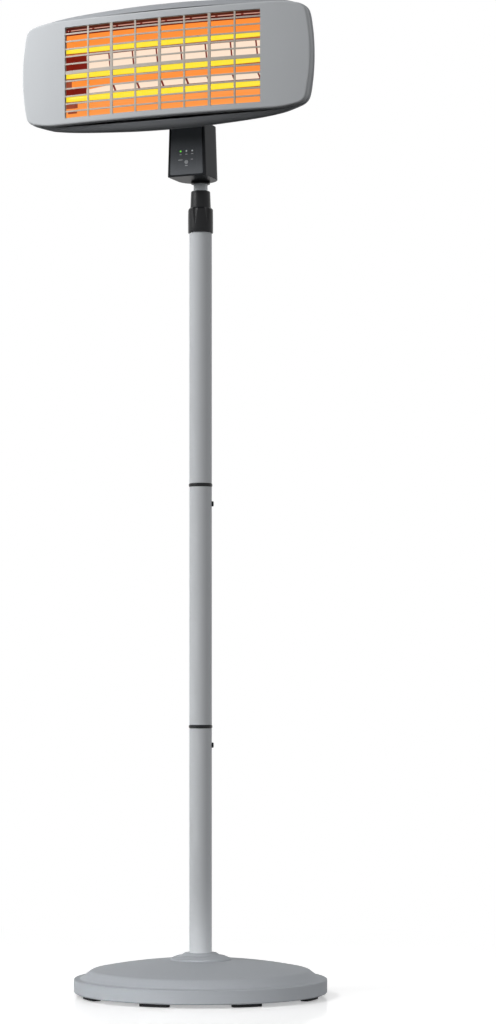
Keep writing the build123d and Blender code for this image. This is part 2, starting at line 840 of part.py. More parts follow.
def make_box_shell():
    body = box_body(0, 0, 0, box_height, box_corner_round)
    body = fillet(body.edges().group_by(Axis.Z)[0], box_edge_round)
    cavity = box_body(box_wall, box_front_wall, box_floor, box_height - box_roof, 0)
    base = box_bottom_height
    cavity -= upright(top_bush_diameter / 2 + mast_socket_wall, base, base + mast_socket_height)
    cavity -= along_gland(gland_boss_radius, gland_seat() - gland_boss_proud - 2 * box_wall, gland_seat())
    body -= cavity
    body += along_gland(gland_boss_radius, gland_seat() - gland_boss_proud - box_wall, gland_seat())
    body -= upright(top_bush_diameter / 2 + snug_gap, base - 1, base + mast_socket_height + 1)
    body -= panel_solid(panel_gap, panel_back - 0.1, box_front + 1)
    body -= panel_solid(0, box_front - box_front_wall - 1, box_front, panel_ledge, 1.0)
    body -= along_gland(gland_body_radius + snug_gap, gland_seat() - 4 * box_wall, gland_seat() + 1)
    body -= mast_screw_hole(mast_screw_radius + snug_gap)
    seat = mast_screw_seat()
    body -= fore_aft(mast_screw_head_radius + seat_gap, -seat, -seat - 10, 0, base + mast_screw_height)
    top = box_top_height
    for x, y in hinge_screw_places():
        body -= upright(hinge_screw_radius + snug_gap, top - hinge_screw_length, top + 1, x, y)
    return body


def mast_screw_seat():
    """How far behind the pole axis the mast screw's head rests."""
    return box_half_width(mast_screw_height) - box_round_centre - 1.0


def make_box_panel():
    panel = panel_solid(0, panel_back, box_front)
    panel = chamfer(panel.faces().sort_by(Axis.Y)[0].edges(), 0.4)
    low = box_bottom_height + overlay_bottom
    overlay = Pos(0, 0, low + overlay_height / 2) * (
        Plane.XZ * RectangleRounded(2 * overlay_half_width, overlay_height, overlay_round)
    )
    panel -= extrude(Pos(0, -(box_front - overlay_thickness), 0) * overlay, 5)
    for x, z in led_places():
        panel -= fore_aft(led_radius + snug_gap, panel_back - 1, box_front + 1, x, z)
    button_z = box_bottom_height + button_height
    panel -= fore_aft(button_radius + slide_gap, panel_back - 1, box_front + 1, 0, button_z)
    for x, z in board_post_places():
        post = fore_aft(board_post_radius, board_front, panel_back, x, z)
        panel += post - fore_aft(board_screw_radius + snug_gap, board_front - 1, panel_back, x, z)
    return panel


def make_overlay():
    """Thin touch label in a shallow pocket of the panel."""
    low = box_bottom_height + overlay_bottom + seat_gap / 2
    height = overlay_height - seat_gap
    sheet = RectangleRounded(2 * overlay_half_width - seat_gap, height, overlay_round)
    outline = Pos(0, -(box_front - overlay_thickness), low + height / 2) * (Plane.XZ * sheet)
    label = extrude(outline, overlay_thickness)
    for x, z in led_places():
        label -= fore_aft(led_radius + snug_gap, box_front - 1, box_front + 1, x, z)
    return label - fore_aft(
        button_radius + slide_gap, box_front - 1, box_front + 1, 0, box_bottom_height + button_height
    )


def make_led(x, z):
    lamp = fore_aft(led_radius, board_front, box_front + led_proud, x, z)
    return fillet(lamp.edges().group_by(Axis.Y)[0], 0.6)


def make_button():
    z = box_bottom_height + button_height
    cap = fore_aft(button_radius, panel_back - 0.3, box_front + button_proud, 0, z)
    cap = fillet(cap.edges().group_by(Axis.Y)[0], 0.5)
    flange_front = panel_back - 0.3
    flange = fore_aft(button_flange_radius, flange_front - button_flange, flange_front, 0, z)
    stem_end = board_front + switch_height + button_travel + 0.1
    return cap + flange + fore_aft(button_stem_radius, stem_end, flange_front, 0, z)


def make_board():
    low = box_bottom_height + board_bottom
    board = slab(-board_half_width, board_half_width, -board_front, -board_back, low, low + board_height)
    for x, z in board_post_places():
        board -= fore_aft(board_screw_radius + snug_gap, board_back - 1, board_front + 1, x, z)
    return board


def make_key_switch():
    z = box_bottom_height + button_height
    half = switch_size / 2
    body = slab(-half, half, -board_front - switch_height + 0.5, -board_front, z - half, z + half)
    return body + fore_aft(1.7, board_front, board_front + switch_height, 0, z)


def make_relays():
    """Three power relays and a filter capacitor on the back of the board."""
    z = box_bottom_height + relay_lift
    solids = []
    half = relay_width / 2
    for k in range(relay_count):
        x = (k - (relay_count - 1) / 2) * (relay_width + 1)
        can = slab(x - half, x + half, -board_back, -board_back + relay_depth, z, z + relay_height)
        solids.append(fillet(can.edges().filter_by(Axis.Y), 1.0))
    return solids + [fore_aft(5.5, board_back - 12, board_back, -12, z - 12)]


def make_mains_terminal():
    """Screw terminal block on the box floor."""
    low = box_bottom_height + box_floor
    top = low + terminal_height
    front = -(board_back - 4)
    back = front + terminal_depth
    half = terminal_width / 2
    body = slab(-half, half, front, back, low, top)
    pitch = terminal_width / terminal_ways
    for k in range(terminal_ways):
        x = (k - (terminal_ways - 1) / 2) * pitch
        body -= upright(terminal_screw_radius, top - 4, top + 1, x, (front + back) / 2)
    for k in range(1, terminal_ways):
        x = -half + k * pitch
        body -= slab(x - 0.6, x + 0.6, front - 1, back + 1, top - 5, top + 1)
    return body


def make_tip_switch():
    """Tip-over switch: a small housing that stands on the box floor."""
    low = box_bottom_height + box_floor
    x = box_half_width(0) - box_wall - 2 - tip_switch_size / 2
    y = -box_round_centre - tip_switch_size / 2 - 2
    half = tip_switch_size / 2
    body = slab(x - half, x + half, y - half, y + half, low, low + tip_switch_height)
    body = fillet(body.edges().filter_by(Axis.Z), 1.5)
    return body + upright(3.5, low + tip_switch_height, low + tip_switch_height + 3, x, y)


def make_gland():
    """Cable gland for the mains lead, on the round back of the box."""
    seat = gland_seat()
    body = along_gland(gland_body_radius, seat - gland_boss_proud - box_wall - 2, seat)
    body += along_gland(gland_flange_radius, seat, seat + gland_flange)
    x, y, z = gland_place(seat + gland_flange + gland_nose / 2)
    cone = Cone(gland_flange_radius - 1.2, gland_nose_radius, gland_nose)
    body += Pos(x, y, z) * Rot(0, 0, gland_angle) * Rot(0, 90, 0) * cone
    return body - along_gland(gland_bore_radius, seat - 20, seat + gland_flange + gland_nose + 1)


def make_mast_screw():
    seat = mast_screw_seat()
    length = seat - mast_radius + mast_wall
    screw = pan_screw(mast_screw_radius, length, mast_screw_head_radius, mast_screw_head)
    return Pos(0, seat, box_bottom_height + mast_screw_height) * Rot(90, 0, 0) * screw


# ------------------------------------------------------------------ tilt hinge
def make_hinge_block():
    """Knuckle on the box roof that carries the pivot bolt."""
    low = box_top_height
    half = hinge_base_width / 2
    depth = hinge_base_depth / 2
    body = slab(-half, half, -pivot_ahead - depth, -pivot_ahead + depth, low, low + hinge_base_thickness)
    body = fillet(body.edges().filter_by(Axis.Z), 4)
    knuckle = across(knuckle_radius, -knuckle_width / 2, knuckle_width / 2, -pivot_ahead, pivot_height)
    web = slab(
        -knuckle_width / 2,
        knuckle_width / 2,
        -pivot_ahead - knuckle_radius,
        -pivot_ahead + knuckle_radius,
        low + hinge_base_thickness,
        pivot_height,
    )
    body += knuckle + web
    body -= across(pivot_radius + slide_gap, -half, half, -pivot_ahead, pivot_height)
    for x, y in hinge_screw_places():
        body -= upright(hinge_screw_radius + snug_gap, low - 1, low + hinge_base_thickness + 1, x, y)
    return body


def make_washers():
    start = knuckle_width / 2 + washer_play
    washers = []
    end = start + washer_thickness
    for side in (-1, 1):
        disc = across(washer_radius, side * start, side * end, -pivot_ahead, pivot_height)
        hole = across(pivot_radius + slide_gap, -ear_outer, ear_outer, -pivot_ahead, pivot_height)
        washers.append(disc - hole)
    return washers


def bracket_screw_places():
    """Screws that hold the tilt bracket on the shell, as (x, z)."""
    low = head_centre_height + bracket_bottom + bracket_screw_edge
    high = head_centre_height + bracket_bottom + bracket_height - bracket_screw_edge
    return [(s * bracket_screw_across, z) for s in (-1, 1) for z in (low, high)]


def make_tilt_bracket():
    """Steel plate on the back of the head, with two ears that reach down to the pivot."""
    low = head_centre_height + bracket_bottom
    seat = bracket_seat
    back = seat - bracket_thickness
    body = slab(-bracket_half_width, bracket_half_width, -seat, -back, low, low + bracket_height)
    body = fillet(body.edges().filter_by(Axis.Y), 6)
    root_low = low + ear_root_bottom
    corners = Polyline(
        (-back, root_low), (-back, root_low + ear_root_height), (-back + 2, root_low + ear_root_height)
    )
    rim = Pos(-pivot_ahead, pivot_height) * Circle(ear_radius)
    profile = make_hull(corners.edges() + rim.edges())
    for side in (-1, 1):
        ear = extrude(Plane.YZ * profile, side * ear_thickness)
        body += Pos(side * ear_inner, 0, 0) * ear
    body -= across(pivot_radius + snug_gap, -2 * ear_outer, 2 * ear_outer, -pivot_ahead, pivot_height)
    for x, z in bracket_screw_places():
        body -= fore_aft(bracket_screw_radius + slide_gap, back - 1, seat + 1, x, z)
    return body


def make_pivot_bolt():
    seat = ear_outer + snug_gap
    bolt = across(pivot_radius, -(seat + pivot_hex_height + 2), seat + 1, -pivot_ahead, pivot_height)
    return bolt + hex_prism(pivot_hex, seat, seat + pivot_hex_height, -pivot_ahead, pivot_height)


def make_pivot_nut():
    start = -(ear_outer + snug_gap)
    nut = hex_prism(pivot_hex, start - pivot_hex_height, start, -pivot_ahead, pivot_height)
    return nut - across(pivot_radius + snug_gap, -2 * ear_outer, 0, -pivot_ahead, pivot_height)


# ------------------------------------------------------------------ heater head
def face_y(x, depth):
    """Y of the bowed face at x, taken in by a depth behind the front."""
    radius = face_radius - depth
    return -head_front + face_radius - sqrt(radius**2 - x**2)


def bowed_slab(depth0, depth1, half_length, z0, z1):
    """A sheet that follows the bowed face, between two depths behind it."""
    front_end = face_y(half_length, depth0)
    back_end = face_y(half_length, depth1)
    outline = ThreePointArc((-half_length, front_end), (0, face_y(0, depth0)), (half_length, front_end))
    outline += Line((half_length, front_end), (half_length, back_end))
    outline += ThreePointArc((half_length, back_end), (0, face_y(0, depth1)), (-half_length, back_end))
    outline += Line((-half_length, back_end), (-half_length, front_end))
    return extrude(Pos(0, 0, z0) * make_face(outline), z1 - z0)


def head_rise(x, inset=0.0):
    """Half the head's height at x: level in the middle, then falling on an arc towards the ends."""
    past = max(0.0, abs(x) - half_level)
    return head_height / 2 - head_fall_radius + sqrt((head_fall_radius - inset) ** 2 - past**2)


def head_corner(inset):
    """Where the falling edge's arc meets the bowed end's arc, both drawn in by an inset."""
    end = Vector(half_head - head_end_radius, 0)
    fall = Vector(half_level, head_height / 2 - head_fall_radius)
    end_radius = head_end_radius - inset
    fall_radius = head_fall_radius - inset
    span = fall - end
    along = (end_radius**2 - fall_radius**2 + span.length**2) / (2 * span.length)
    aside = sqrt(end_radius**2 - along**2)
    step = span.normalized()
    corner = end + step * along + Vector(-step.Y, step.X) * aside
    return corner.X, corner.Y


def head_outline(inset, crown=0.0):
    """The head's front outline, drawn in by an inset: bowed ends, and level edges that fall towards them.

    With a crown, one arc that rises by it stands in for the level edge and its two falls.
    """
    x, z = head_corner(inset)
    half = half_head - inset
    rise = head_height / 2 - inset
    middle = (half_level + x) / 2
    fall = head_rise(middle, inset)
    outline = []
    for side in (-1, 1):
        outline.append(ThreePointArc((side * x, -z), (side * half, 0), (side * x, z)))
        top = side * rise
        if crown:
            outline.append(ThreePointArc((-x, side * z), (0, top + side * crown), (x, side * z)))
            continue
        outline.append(Line((-half_level, top), (half_level, top)))
        for end in (-1, 1):
            on_arc = (end * middle, side * fall)
            outline.append(ThreePointArc((end * half_level, top), on_arc, (end * x, side * z)))
    corners = [(sx * x, sz * z, head_corner_round - inset) for sx in (-1, 1) for sz in (-1, 1)]
    return rounded_at(make_face(outline), corners)


def head_prism(inset, crown=0.0):
    """The head's front outline carried through along Y."""
    outline = Pos(0, 0, head_centre_height) * (Plane.XZ * head_outline(inset, crown))
    return extrude(outline, 2 * head_front)


def head_slab(inset, depth0, depth1, edge_round):
    """A bowed slab with the head's outline and, where asked, a rolled front edge."""
    z0 = head_centre_height - head_height
    body = bowed_slab(depth0, depth1, half_head + 20, z0, z0 + 2 * head_height) & head_prism(inset)
    if edge_round:
        body = fillet(body.faces().sort_by(Axis.Y)[0].edges(), edge_round)
    return body


def corners_of(across_x, rise):
    """Four places about the head's centre, as (x, z)."""
    return [(sx * across_x, head_centre_height + sz * rise) for sx in (-1, 1) for sz in (-1, 1)]


def make_bezel():
    body = head_slab(0, 0, bezel_depth, bezel_edge_round)
    body -= head_slab(bezel_wall, bezel_wall, bezel_depth + 5, bezel_edge_round - bezel_wall)
    low = window_centre - window_height / 2
    body -= slab(-window_width / 2, window_width / 2, -head_front - 5, 0, low, low + window_height)
    for x, z in corners_of(shell_screw_across, shell_screw_rise):
        skin = -face_y(x, bezel_wall / 2)
        post = fore_aft(bezel_boss_radius, shell_screw_seat + shell_boss_length - 2, skin, x, z)
        body += post - fore_aft(shell_screw_radius + snug_gap, shell_screw_seat, skin - 8, x, z)
    for x, z in corners_of(channel_screw_across, channel_screw_rise):
        skin = -face_y(x, bezel_wall / 2)
        post = fore_aft(channel_post_radius, channel_front, skin, x, z)
        body += post - fore_aft(channel_screw_radius + snug_gap, channel_front - 1, skin - 2, x, z)
    return body


def make_guard():
    """Flat guard: upright bars and thin level wires in one plane, on a frame behind the window's edge."""
    half_width = window_width / 2
    low = window_centre - window_height / 2
    high = low + window_height
    edge = guard_frame
    frame_front = bezel_wall + 0.1
    body = bowed_slab(frame_front, guard_back, half_width + edge, low - edge, high + edge)
    body -= slab(-half_width + 1, half_width - 1, -head_front - 5, 0, low + 1, high - 1)
    wire_front = guard_setback + (guard_bar_depth - guard_wire_depth) / 2
    wire_reach = half_width - guard_edge_gap
    wires = bowed_slab(wire_front, wire_front + guard_wire_depth, wire_reach, low, high)
    clear = (window_height - (guard_rows - 2) * guard_wire - guard_middle_wire) / guard_rows
    rows = []
    foot = low
    for k in range(1, guard_rows):
        thick = guard_middle_wire if k == guard_rows // 2 else guard_wire
        foot += clear
        rows.append(wires & slab(-half_width, half_width, -head_front - 5, 0, foot, foot + thick))
        foot += thick
    body += rows
    column = window_width / guard_columns
    bar_low = low + guard_edge_gap
    bar_high = high - guard_edge_gap
    bars = bowed_slab(guard_setback, guard_setback + guard_bar_depth, half_width, bar_low, bar_high)
    for k in range(1, guard_columns):
        thick = guard_wide_bar if k % 2 == 0 else guard_bar
        x = -half_width + k * column
        body += bars & slab(x - thick / 2, x + thick / 2, -head_front - 5, 0, low, high)
        for z0, z1 in ((bar_low, bar_low + guard_foot), (bar_high - guard_foot, bar_high)):
            bars_foot = bowed_slab(guard_setback, guard_back, half_width, z0, z1)
            body += bars_foot & slab(x - thick / 2, x + thick / 2, -head_front - 5, 0, z0, z1)
    return body


def shell_back(x):
    """How far ahead of the pole axis the shell's back lies at x: an arc in plan."""
    end = -face_y(half_head, bezel_depth) - shell_end_depth
    sag = end - head_back
    radius = (half_head**2 + sag**2) / (2 * sag)
    return head_back + radius - sqrt(radius**2 - x**2)


def shell_section(x, inset):
    """The shell's cross-section at x: a superellipse with a swell just behind the bezel.

    The half height at a share u of the depth is H (1 - u^n)^(1/n) + b sin(pi u / r), and the swell
    b falls off to the two ends as 1 - (x / half width)^2.
    """
    join = -face_y(x, bezel_depth + shell_join)
    depth = join - shell_back(x) - inset
    height = head_rise(x, inset)
    bulge = shell_bulge * max(0.0, 1 - (x / half_head) ** 2)
    ahead = shell_lead_in
    places = [(-(join + ahead * depth), height - bulge * sin(pi * ahead / shell_bulge_reach))]
    for turn in (9, 18, 30, 42, 54, 66, 78):
        share = sin(radians(turn)) ** (2 / shell_squareness)
        rise = height * cos(radians(turn)) ** (2 / shell_squareness)
        rise += bulge * sin(pi * min(1.0, share / shell_bulge_reach))
        places.append((-(join - share * depth), rise))
    curve = places + [(-(join - depth), 0.0)] + [(y, -z) for y, z in reversed(places)]
    front = -head_front - 10
    first, last = curve[0], curve[-1]
    outline = Spline(*curve)
    outline += Polyline(last, (front, last[1]), (front, first[1]), first)
    return Pos(x, 0, head_centre_height) * (Plane.YZ * make_face(outline))


def shell_body(inset):
    """The boat-shaped shell as a solid, from bezel to back, lofted along X."""
    reach = half_head + 3
    stations = [reach * s for s in (-1, -0.88, -0.7, -0.48, -0.24, 0, 0.24, 0.48, 0.7, 0.88, 1)]
    return loft([shell_section(x, inset) for x in stations])


def make_shell():
    z0 = head_centre_height - head_height
    start = bezel_depth + shell_join
    bezel_side = bowed_slab(-head_front, start, half_head + 20, z0, z0 + 2 * head_height)
    body = (shell_body(0) & head_prism(0, shell_crown)) - bezel_side
    lip_inset = bezel_wall + lip_gap
    lip = head_slab(lip_inset, bezel_depth - shell_lip, start + 2, 0)
    lip += head_slab(shell_wall / 2, start + 0.2, start + 2, 0) & body
    lip -= head_slab(lip_inset + shell_wall, bezel_depth - shell_lip - 1, start + 3, 0)
    pad_low = head_centre_height + bracket_bottom
    pad = slab(
        -bracket_half_width - 3,
        bracket_half_width + 3,
        -bracket_seat,
        -bracket_seat - pad_thickness,
        pad_low - 3,
        pad_low + bracket_height + 3,
    )
    posts = []
    holes = vent_slots()
    pad_front = bracket_seat + pad_thickness
    for x, z in bracket_screw_places():
        holes.append(fore_aft(bracket_screw_radius + snug_gap, bracket_seat - 1, pad_front + 1, x, z))
    seat = shell_screw_seat
    front = seat + shell_boss_length - 2 - seat_gap
    for x, z in corners_of(shell_screw_across, shell_screw_rise):
        posts.append(fore_aft(shell_boss_radius, seat - 30, front, x, z) & body)
        holes.append(fore_aft(shell_screw_head_radius + seat_gap, seat - 40, seat, x, z))
        holes.append(fore_aft(shell_screw_radius + snug_gap, seat - 1, front + 1, x, z))
    shell = body - (shell_body(shell_wall) & head_prism(shell_wall, shell_crown))
    return shell + [lip, pad, *posts] - holes


def vent_slots():
    """Upright cooling slots through the back, in four groups beside the bracket."""
    slot = Plane.XZ * SlotOverall(vent_height, vent_width, rotation=90)
    slots = []
    for side in (-1, 1):
        for rise in (-vent_offset, vent_offset):
            for k in range(vent_count):
                x = side * (vent_first + k * vent_pitch)
                slots.append(extrude(Pos(x, 0, head_centre_height + rise) * slot, head_back + 40))
    return slots


def reflector_line():
    """The reflector's bend line from its top front lip to its bottom front lip, as (ahead, height)."""
    c = head_centre_height
    return [
        (head_front, c + roof_rise),
        (roof_ahead, c + roof_rise),
        (trough_ahead, c + roof_slope_foot),
        (trough_ahead, c + ridge_one[0] + 12),
        (ridge_ahead, c + ridge_one[0]),
        (ridge_ahead, c + ridge_one[1]),
        (trough_ahead, c + trough_two[0]),
        (trough_ahead, c + trough_two[1]),
        (ridge_ahead, c + ridge_two[0]),
        (ridge_ahead, c + ridge_two[1]),
        (trough_ahead, c + trough_three[0]),
        (trough_ahead, c + trough_three[1]),
        (roof_ahead, c + floor_rise),
        (head_front, c + floor_rise),
    ]


def make_reflector():
    """Folded bright sheet with a trough behind each tube."""
    line = [(-a, z) for a, z in reflector_line()]
    sheet = offset(Polyline(*line), reflector_sheet, side=Side.RIGHT, closed=True)
    half = reflector_half_length
    body = Pos(-half, 0, 0) * extrude(Plane.YZ * make_face(sheet), 2 * half)
    z0 = head_centre_height - head_height
    start = guard_back + seat_gap
    return body & bowed_slab(start, start + head_front, half + 20, z0, z0 + 2 * head_height)


def make_end_channels():
    """Sheet channels that close the reflector's ends and hold the tube caps."""
    c = head_centre_height
    inner = end_plate_half_length
    outer = channel_outer
    sheet = channel_sheet
    start = guard_back + seat_gap
    margin = reflector_sheet + 1
    outline = Polyline(
        (-head_front, c + roof_rise + margin),
        (-(roof_ahead - margin), c + roof_rise + margin),
        (-(trough_ahead - margin), c + roof_slope_foot + margin),
        (-(trough_ahead - margin), c + trough_three[1] - margin),
        (-(roof_ahead - margin), c + floor_rise - margin),
        (-head_front, c + floor_rise - margin),
        close=True,
    )
    plate = extrude(Pos(inner, 0, 0) * (Plane.YZ * make_face(outline)), end_plate_sheet)
    plate &= bowed_slab(start, start + head_front, half_head, c - head_height, c + head_height)
    half = channel_half_height
    wall = slab(outer, outer + sheet, -channel_front, -channel_back, c - half, c + half)
    body = plate + wall
    for side in (-1, 1):
        edge = c + side * half
        body += slab(inner, outer + sheet, -channel_front, -channel_back, edge, edge - side * sheet)
        foot_low = c + side * (channel_screw_rise - channel_foot_height / 2)
        foot_high = c + side * half
        body += slab(outer, outer + channel_foot, -channel_front, -channel_front + sheet, foot_low, foot_high)
        body -= fore_aft(
            channel_screw_radius + slide_gap,
            channel_front - 4,
            channel_front + 1,
            channel_screw_across,
            c + side * channel_screw_rise,
        )
    for rise in tube_rises:
        body -= across(tube_radius + end_plate_hole_gap, inner - 1, inner + 3, -tube_ahead, c + rise)
        body -= across(cap_radius + slide_gap, outer - 1, outer + sheet + 1, -tube_ahead, c + rise)
    return [body, mirror(body, Plane.YZ)]


def make_tubes():
    c = head_centre_height
    solids = []
    for rise in tube_rises:
        glass = across(tube_radius, -tube_half_length, tube_half_length, -tube_ahead, c + rise)
        reach = tube_half_length + 1
        solids.append(glass - across(tube_radius - tube_wall, -reach, reach, -tube_ahead, c + rise))
    return solids


def make_coils():
    c = head_centre_height
    reach = tube_half_length + 5
    return [across(coil_radius, -reach, reach, -tube_ahead, c + rise) for rise in tube_rises]


def make_caps():
    """Ceramic end caps, each with a pocket for the tube and a bore for the lead."""
    c = head_centre_height
    solids = []
    for rise in tube_rises:
        for side in (-1, 1):
            cap = across(cap_radius, side * cap_start, side * (cap_start + cap_length), -tube_ahead, c + rise)
            cap = chamfer(cap.edges().filter_by(GeomType.CIRCLE), 0.8)
            cap -= across(tube_radius + snug_gap, 0, side * tube_half_length, -tube_ahead, c + rise)
            cap -= across(coil_radius + snug_gap, 0, side * (tube_half_length + 6), -tube_ahead, c + rise)
            solids.append(cap)
    return solids


def make_heat_shield():
    """Flat screen between the reflector and the shell, on pressed stand-offs."""
    c = head_centre_height
    sheet = slab(
        -shield_half_width,
        shield_half_width,
        -shield_ahead,
        -shield_ahead - shield_sheet,
        c - shield_half_height,
        c + shield_half_height,
    )
    middle_one = c + sum(ridge_one) / 2
    middle_two = c + sum(ridge_two) / 2
    for x in (-shield_post_across, shield_post_across):
        for z in (middle_one, middle_two):
            sheet += fore_aft(shield_post_radius, shield_ahead, ridge_ahead - reflector_sheet - 0.05, x, z)
    return sheet


def make_cutout():
    back = shield_ahead - cutout_height
    body = fore_aft(cutout_radius, back, shield_ahead, cutout_across, head_centre_height)
    return body + fore_aft(cutout_radius - 3, back - 2, back, cutout_across, head_centre_height)


def make_terminal_block():
    """Ceramic terminal block on the heat shield."""
    c = head_centre_height
    half = block_height / 2
    body = slab(
        block_across - block_width / 2,
        block_across + block_width / 2,
        -shield_ahead,
        -shield_ahead + block_depth,
        c - half,
        c + half,
    )
    for k in (-1, 0, 1):
        x = block_across + k * block_width / 3
        body -= fore_aft(3, shield_ahead - block_depth - 1, shield_ahead - block_depth + 5, x, c)
    return body


# ------------------------------------------------------------------ fasteners
def make_socket_bolts():
    bolt = pan_screw(socket_bolt_radius, pole_foot - socket_bolt_seat - 0.5, 7.5, 6)
    return [Pos(x, y, socket_bolt_seat) * bolt for x, y in socket_bolt_places()]


def make_base_screws():
    screw = pan_screw(base_screw_radius, base_screw_length - 1, 2 * base_screw_radius, 2.4)
    screw = Pos(base_screw_circle, 0, plate_bottom) * screw
    return around(screw, base_screw_count)


def make_board_screws():
    screw = Rot(90, 0, 0) * pan_screw(board_screw_radius, board_thickness + 5, 2.4, 1.6)
    return [Pos(x, -board_back, z) * screw for x, z in board_post_places()]


def make_hinge_screws():
    top = box_top_height + hinge_base_thickness
    length = hinge_base_thickness + hinge_screw_length - 0.5
    screw = Rot(180, 0, 0) * pan_screw(hinge_screw_radius, length, 3.4, 2.2)
    return [Pos(x, y, top) * screw for x, y in hinge_screw_places()]


def make_bracket_screws():
    back = bracket_seat - bracket_thickness
    screw = Rot(90, 0, 0) * pan_screw(bracket_screw_radius, bracket_screw_length - 3, 4.8, 3.0)
    return [Pos(x, -back, z) * screw for x, z in bracket_screw_places()]


def make_shell_screws():
    length = shell_screw_length
    screw = Rot(90, 0, 0) * pan_screw(shell_screw_radius, length, shell_screw_head_radius, shell_screw_head)
    return [Pos(x, -shell_screw_seat, z) * screw for x, z in corners_of(shell_screw_across, shell_screw_rise)]


def make_channel_screws():
    seat = channel_front - channel_sheet
    screws = []
    for x, z in corners_of(channel_screw_across, channel_screw_rise):
        screw = pan_screw(channel_screw_radius, channel_screw_length, 3.2, 2.0)
        screws.append(Pos(x, -seat, z) * Rot(90, 0, 0) * screw)
    return screws


# ------------------------------------------------------------------ every sub-part
half_ring = joint_ring_height / 2
lower_snap_height = lower_joint_height - snap_drop
upper_snap_height = upper_joint_height - snap_drop

save("base_cover", make_base_cover())
save("base_plate", make_base_plate())
save("base_ballast", make_ballast())
save("rubber_feet", *make_feet())
save("base_screws", *make_base_screws())
save("pole_socket", make_pole_socket())
save("socket_bolts", *make_socket_bolts())
save("foot_collar", make_foot_collar())

save("lower_pole", make_pole(pole_foot, lower_joint_height - half_ring, lower_snap_height))
middle = make_pole(lower_joint_height + half_ring, upper_joint_height - half_ring, upper_snap_height)
save("middle_pole", middle)
save("upper_pole", make_pole(upper_joint_height + half_ring, pole_top_height))
save("lower_joint_ring", make_joint_ring(lower_joint_height))
save("upper_joint_ring", make_joint_ring(upper_joint_height))
save("lower_joint_sleeve", make_joint_sleeve(lower_joint_height))
save("upper_joint_sleeve", make_joint_sleeve(upper_joint_height))
save("lower_snap_button", make_snap_button(lower_snap_height))
save("upper_snap_button", make_snap_button(upper_snap_height))
save("lower_snap_spring", make_snap_spring(lower_snap_height))
save("upper_snap_spring", make_snap_spring(upper_snap_height))

save("collet_sleeve", make_collet_sleeve())
save("twist_collar", make_twist_collar())
save("cam_ring", make_cam_ring())

save("mast_tube", make_inner_tube())
save("mast_guide_bush", make_guide_bush())
save("mast_end_cap", make_end_cap())
save("mast_top_bush", make_top_bush())

save("box_shell", make_box_shell())
save("box_panel", make_box_panel())
save("control_overlay", make_overlay())
leds = [make_led(x, z) for x, z in led_places()]
save("led_on", leds[0])
save("leds_idle", *leds[1:])
save("power_button", make_button())
save("key_switch", make_key_switch())
save("control_board", make_board())
save("board_screws", *make_board_screws())
save("power_relays", *make_relays())
save("mains_terminal", make_mains_terminal())
save("tip_switch", make_tip_switch())
save("mains_gland", make_gland())
save("mast_screw", make_mast_screw())

save("hinge_block", make_hinge_block())
save("hinge_screws", *make_hinge_screws())
save("friction_washers", *make_washers())
save("tilt_bracket", make_tilt_bracket())
save("pivot_bolt", make_pivot_bolt())
save("pivot_nut", make_pivot_nut())
save("bracket_screws", *make_bracket_screws())

save("front_bezel", make_bezel())
save("guard_grille", make_guard())
save("rear_shell", make_shell())
save("shell_screws", *make_shell_screws())
save("reflector", make_reflector())
save("end_channels", *make_end_channels())
save("channel_screws", *make_channel_screws())
save("quartz_tubes", *make_tubes())
save("heating_coils", *make_coils())
save("tube_caps", *make_caps())
save("heat_shield", make_heat_shield())
save("thermal_cutout", make_cutout())
save("terminal_block", make_terminal_block())
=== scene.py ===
# %% [markdown]
# # An infrared patio heater tower
#
# The heater stands on a heavy round base. Three lengths of pole, a twist collar and a thin mast carry
# a small control box and a wide heater head with three glowing quartz tubes behind a guard.
# The measured frame is loaded first. Every piece made below is in metres, in that same frame:
# +Z is up, the heater faces -Y, and the origin is on the floor on the pole's axis.

# %% Load the frame and keep its box
import json
import math

import bpy
import numpy as np
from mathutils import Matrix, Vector


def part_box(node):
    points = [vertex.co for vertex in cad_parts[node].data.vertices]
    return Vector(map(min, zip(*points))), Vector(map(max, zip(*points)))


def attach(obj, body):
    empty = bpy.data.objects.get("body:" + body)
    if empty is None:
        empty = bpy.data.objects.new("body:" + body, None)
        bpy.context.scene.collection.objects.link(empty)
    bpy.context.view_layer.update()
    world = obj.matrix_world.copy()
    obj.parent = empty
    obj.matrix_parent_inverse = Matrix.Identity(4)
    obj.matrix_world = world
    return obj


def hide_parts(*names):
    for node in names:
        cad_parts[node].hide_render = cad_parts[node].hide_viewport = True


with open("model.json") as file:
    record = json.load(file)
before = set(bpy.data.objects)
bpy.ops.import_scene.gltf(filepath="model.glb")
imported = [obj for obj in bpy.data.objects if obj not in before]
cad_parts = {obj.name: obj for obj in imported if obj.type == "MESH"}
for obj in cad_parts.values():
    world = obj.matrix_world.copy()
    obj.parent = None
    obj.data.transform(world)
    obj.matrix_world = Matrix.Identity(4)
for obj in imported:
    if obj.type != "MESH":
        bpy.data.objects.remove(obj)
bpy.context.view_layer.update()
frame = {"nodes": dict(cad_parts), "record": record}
nodes = frame["nodes"]
MM = 0.001

# %% [markdown]
# ## Camera
# The photograph was taken from the heater's front right, 22.5 degrees round from straight ahead,
# with a long lens a little above knee height. Its upright lines stay upright, so the camera is level
# and the picture is framed with lens shift. A camera that looked up would make the pole lean.

# %% The camera
# Distances are in metres, the lens and the shifts in pixels of the photograph, the sensor in mm.
VIEW_TURN = math.radians(22.5)
VIEW_DISTANCE, VIEW_HEIGHT, VIEW_LIMIT = 5.156, 0.527, 60.0
LENS_PIXELS, LONG_SIDE = 2900.0, 1024.0
SHIFT_RIGHT, SHIFT_UP = 47.4, 187.0
SENSOR = 36.0

